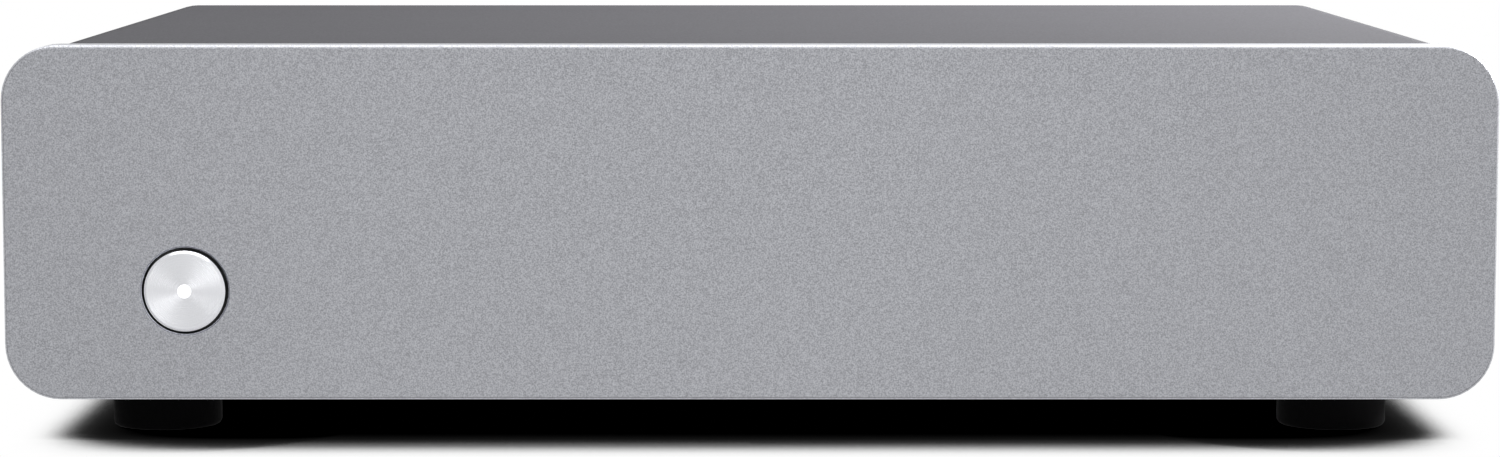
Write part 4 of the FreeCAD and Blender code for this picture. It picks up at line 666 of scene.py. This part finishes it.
def return_spring():
    """The coil that pushes the power button out. The real one shortens as the button goes in;
    this one keeps its length.
    """
    low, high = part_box("button_spring")
    middle = (low + high) / 2
    wire = 0.25 * MM
    turns = 5
    deselect()
    bpy.ops.mesh.primitive_circle_add(vertices=10, radius=wire,
                                      location=(middle.x, low.y + wire, middle.z))
    spring = named("return_spring")
    edit_all(spring)
    bpy.ops.transform.translate(value=((high.x - low.x) / 2 - wire, 0, 0))
    done(spring)
    coil = spring.modifiers.new("Coil", "SCREW")
    coil.axis = "Y"
    coil.iterations = turns
    coil.screw_offset = (high.y - low.y - 2 * wire) / turns
    coil.steps = coil.render_steps = 28
    bpy.ops.object.modifier_apply(modifier="Coil")
    settle(spring)
    edit_all(spring)
    bpy.ops.mesh.remove_doubles(threshold=0.001 * MM)
    bpy.ops.mesh.fill_holes(sides=0)
    bpy.ops.mesh.select_all(action="SELECT")
    bpy.ops.mesh.normals_make_consistent(inside=False)
    done(spring)
    smooth(spring, 50)
    spring.data.materials.append(finishes["spring_steel"])
    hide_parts("button_spring")
    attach(spring, "chassis")
    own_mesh(spring)


# Balance pointer

POINTER_WIDTH = 0.7 * MM
POINTER_THICKNESS = 0.34 * MM
POINTER_LENGTH = 5.0 * MM


def balance_pointer():
    """A white line let into the groove on the balance knob's end."""
    low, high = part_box("balance_knob")
    middle = (low + high) / 2
    deselect()
    bpy.ops.mesh.primitive_cube_add(size=1, location=(middle.x, high.y - 0.32 * MM,
                                                      middle.z + 3.1 * MM))
    line = named("balance_pointer")
    line.scale = (POINTER_WIDTH, POINTER_THICKNESS, POINTER_LENGTH)
    settle(line)
    edit_all(line)
    bpy.ops.mesh.bevel(offset=0.06 * MM, segments=2)
    done(line)
    smooth(line)
    line.data.materials.append(finishes["white_plastic"])
    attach(line, "balance_control")


# Printed marks on the rear panel

PRINT_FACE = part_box("rear_panel")[1].y + 0.05 * MM
PRINT_BODY = 0.03 * MM
LINE = 0.45 * MM
THIN_LINE = 0.35 * MM
SIGNAL_SIGNS_UP = 41.5 * MM
WAVE_UP = 37.6 * MM


def on_panel(across, up, turn=0.0):
    """A place on the rear panel, facing the back, for a primitive."""
    return {"location": (across, PRINT_FACE, up), "rotation": (-math.pi / 2, turn, 0)}


def mark_bar(across, up, width, height, turn=0.0):
    """A printed bar."""
    deselect()
    bpy.ops.mesh.primitive_plane_add(size=1, **on_panel(across, up, turn))
    bar = bpy.context.object
    bar.scale = (width, height, 1)
    return settle(bar)


def mark_disc(across, up, radius, corners=32, turn=0.0):
    """A printed dot, or an arrow head when it has three corners."""
    deselect()
    bpy.ops.mesh.primitive_circle_add(vertices=corners, radius=radius, fill_type="NGON",
                                      **on_panel(across, up, turn))
    return settle(bpy.context.object)


def mark_ring(across, up, radius, width, keep=None):
    """A printed ring, or the half of it on one side of its centre."""
    ring = mark_disc(across, up, radius, corners=48)
    edit_all(ring)
    bpy.ops.mesh.inset(thickness=width)
    bpy.ops.mesh.delete(type="FACE")
    if keep:
        bpy.ops.mesh.select_all(action="SELECT")
        bpy.ops.mesh.bisect(plane_co=(across, PRINT_FACE, up), plane_no=keep, clear_inner=True)
    return done(ring)


def mark_frame(across, up, width, height, line, corner):
    """A printed outline with rounded corners."""
    outline = mark_bar(across, up, width, height)
    edit_all(outline)
    bpy.ops.mesh.bevel(offset=corner, segments=6, affect="VERTICES")
    bpy.ops.mesh.select_all(action="SELECT")
    bpy.ops.mesh.inset(thickness=line)
    bpy.ops.mesh.delete(type="FACE")
    return done(outline)


def pair_frame(node):
    """The outline round one pair of sockets."""
    return mark_frame(middle_of(node).x, up=27.2 * MM, width=36 * MM, height=17 * MM,
                      line=THIN_LINE, corner=2 * MM)


def signal_out_sign():
    """An arrow that leaves a bracket."""
    across = middle_of("output_jack_block").x
    return [mark_bar(across, SIGNAL_SIGNS_UP, 7 * MM, LINE),
            mark_disc(across - 3.6 * MM, SIGNAL_SIGNS_UP, 1.3 * MM, 3, -math.pi / 2),
            mark_bar(across + 3.5 * MM, SIGNAL_SIGNS_UP, LINE, 4.4 * MM)]


def signal_in_sign():
    """A record on its platter with the arm across it."""
    across = middle_of("input_jack_block").x
    record = [mark_ring(across, SIGNAL_SIGNS_UP, radius * MM, width * MM)
              for radius, width in ((3.6, 0.4), (2.3, 0.25), (0.9, 0.4))]
    arm = mark_bar(across - 3.9 * MM, SIGNAL_SIGNS_UP + 1.2 * MM, LINE, 4.2 * MM,
                   math.radians(-24))
    pivot = mark_disc(across - 4.8 * MM, SIGNAL_SIGNS_UP + 3.1 * MM, 0.7 * MM)
    return record + [arm, pivot]


def earth_sign():
    """A stem on three bars, each shorter than the one above."""
    across = middle_of("ground_post").x
    stem = mark_bar(across, 38.6 * MM, LINE, 3 * MM)
    bars = [mark_bar(across, (37.1 - 1.1 * step) * MM, (5.4 - 1.7 * step) * MM, LINE)
            for step in range(3)]
    return [stem] + bars


def mains_sign():
    """One wave of alternating current, made of two half rings."""
    across = middle_of("mains_inlet").x
    return [mark_ring(across + 1.4 * MM, WAVE_UP, 1.6 * MM, LINE, (0, 0, 1)),
            mark_ring(across - 1.35 * MM, WAVE_UP, 1.6 * MM, LINE, (0, 0, -1))]


def balance_scale():
    """Eleven ticks over the knob's turn, the middle one bolder, and a bar under the knob."""
    knob = middle_of("balance_knob")
    ticks = []
    for step in range(11):
        turn = math.radians(-140 + 28 * step)
        reach, width, height = (9.2, 0.6, 2.2) if step == 5 else (8.8, 0.35, 1.3)
        ticks.append(mark_bar(knob.x + reach * MM * math.sin(turn),
                              knob.z + reach * MM * math.cos(turn),
                              width * MM, height * MM, turn))
    return ticks + [mark_bar(knob.x, knob.z - 10 * MM, 2.4 * MM, THIN_LINE)]


def rear_marks():
    """Socket frames, signal signs, earth, mains and the balance scale, all in one print."""
    frames = [pair_frame(node) for node in ("input_jack_block", "output_jack_block")]
    marks = (frames + signal_out_sign() + signal_in_sign() + earth_sign() + mains_sign()
             + balance_scale())
    print_sheet = joined(marks, "rear_marks")
    edit_all(print_sheet)
    bpy.ops.mesh.normals_make_consistent(inside=False)
    done(print_sheet)
    if sum(face.normal.y for face in print_sheet.data.polygons) < 0:
        edit_all(print_sheet)
        bpy.ops.mesh.flip_normals()
        done(print_sheet)
    body = print_sheet.modifiers.new("Body", "SOLIDIFY")
    body.thickness = PRINT_BODY
    body.offset = -1
    pick(print_sheet)
    bpy.ops.object.modifier_apply(modifier="Body")
    ink = moulded_plastic("Pale ink", (0.62, 0.62, 0.6), roughness=0.55, grain_size=0.3 * MM,
                          depth=0.004 * MM)
    print_sheet.data.materials.append(ink)
    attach(print_sheet, "chassis")


rubber_feet()
return_spring()
balance_pointer()
rear_marks()


# Floor, backdrop and light

def reflected_rays(tree, path):
    """One for rays from a mirror or through glass, and nought for the rest."""
    return math_node(tree, "MAXIMUM", path["Is Glossy Ray"], path["Is Transmission Ray"])


def studio_world(level):
    """A white world for sight and reflections, which lights the object at a lower level."""
    world = bpy.data.worlds.new("Studio")
    bpy.context.scene.world = world
    world.use_nodes = True
    tree = world.node_tree
    sky = tree.nodes["Background"]
    sky.inputs["Color"].default_value = (1, 1, 1, 1)
    path = add(tree, "ShaderNodeLightPath").outputs
    seen = math_node(tree, "MAXIMUM", path["Is Camera Ray"], reflected_rays(tree, path))
    tree.links.new(stretch(tree, seen, 0.0, 1.0, level, 1.0), sky.inputs["Strength"])


# How white the floor looks, against how much of the air round a point is open.
SHADOW_FADE = ((0.738, 0.006), (0.794, 0.014), (0.83, 0.035), (0.848, 0.085), (0.876, 0.25),
               (0.896, 0.46), (0.929, 0.77), (0.945, 0.91), (0.965, 0.97), (0.985, 1.0))


def white_floor():
    """A matt floor. It looks white away from the case and keeps the dark contact shadow."""
    deselect()
    bpy.ops.mesh.primitive_plane_add(size=16, location=(0, 0, 0))
    floor = named("floor")
    material = bpy.data.materials.new("White floor")
    material.use_nodes = True
    tree = material.node_tree
    tree.nodes.clear()
    path = add(tree, "ShaderNodeLightPath").outputs
    side = math_node(tree, "MULTIPLY", math_node(tree, "SIGN", place_of(tree)["X"]), 0.97)
    lean = add(tree, "ShaderNodeCombineXYZ", {0: side, 1: 0.0, 2: 0.25})
    near = add(tree, "ShaderNodeAmbientOcclusion",
               {"Distance": 21 * MM, "Normal": lean.outputs[0]}, samples=64)
    fade = add(tree, "ShaderNodeFloatCurve", {"Value": near.outputs["AO"]})
    for spot in SHADOW_FADE:
        fade.mapping.curves[0].points.new(*spot)
    fade.mapping.update()
    matt = add(tree, "ShaderNodeBsdfDiffuse", {"Color": (0.8, 0.8, 0.8, 1)})
    white = {"Color": (1, 1, 1, 1)}
    mirrored = add(tree, "ShaderNodeEmission", {**white, "Strength": 1.0})
    seen = add(tree, "ShaderNodeEmission", {**white, "Strength": fade.outputs["Value"]})
    lit = add(tree, "ShaderNodeMixShader",
              {0: reflected_rays(tree, path), 1: matt.outputs[0], 2: mirrored.outputs[0]})
    both = add(tree, "ShaderNodeMixShader",
               {0: path["Is Camera Ray"], 1: lit.outputs[0], 2: seen.outputs[0]})
    add(tree, "ShaderNodeOutputMaterial", {"Surface": both.outputs[0]})
    floor.data.materials.append(material)


def soft_light(name, place, aim, width, height, power):
    """A rectangular softbox that looks at a point."""
    lamp = bpy.data.lights.new(name, "AREA")
    lamp.shape = "RECTANGLE"
    lamp.size = width
    lamp.size_y = height
    lamp.energy = power
    holder = bpy.data.objects.new(name, lamp)
    bpy.context.collection.objects.link(holder)
    holder.location = place
    holder.rotation_euler = (Vector(aim) - Vector(place)).to_track_quat("-Z", "Y").to_euler()
    holder.visible_camera = False


def camera():
    """A long lens a little above the case, looking slightly down."""
    view = bpy.data.cameras.new("Camera")
    view.lens = 94.1
    view.shift_x = 0.0084
    view.sensor_width = 36
    view.clip_start = 0.01
    view.clip_end = 50
    holder = bpy.data.objects.new("Camera", view)
    bpy.context.collection.objects.link(holder)
    holder.location = (-0.0018, -0.640, 0.087)
    holder.rotation_euler = (math.radians(84.285), 0, 0)
    bpy.context.scene.camera = holder


studio_world(0.55)
white_floor()
soft_light("Overhead softbox", (0, -0.05, 0.9), (0, 0, 0), width=1.1, height=0.8, power=5.0)
soft_light("Near right softbox", (0.34, 0.1, 0.24), (0.06, 0.0, 0.05), width=0.2, height=0.2,
           power=7.4)
soft_light("Low front strip", (0.04, -1.3, 0.04), (0, 0, 0.03), width=0.4, height=0.07,
           power=0.55)
soft_light("Low left strip", (-0.62, -1.15, 0.04), (-0.08, -0.08, 0.02), width=0.4, height=0.07,
           power=0.3)
camera()
bpy.context.scene.view_settings.view_transform = "Standard"
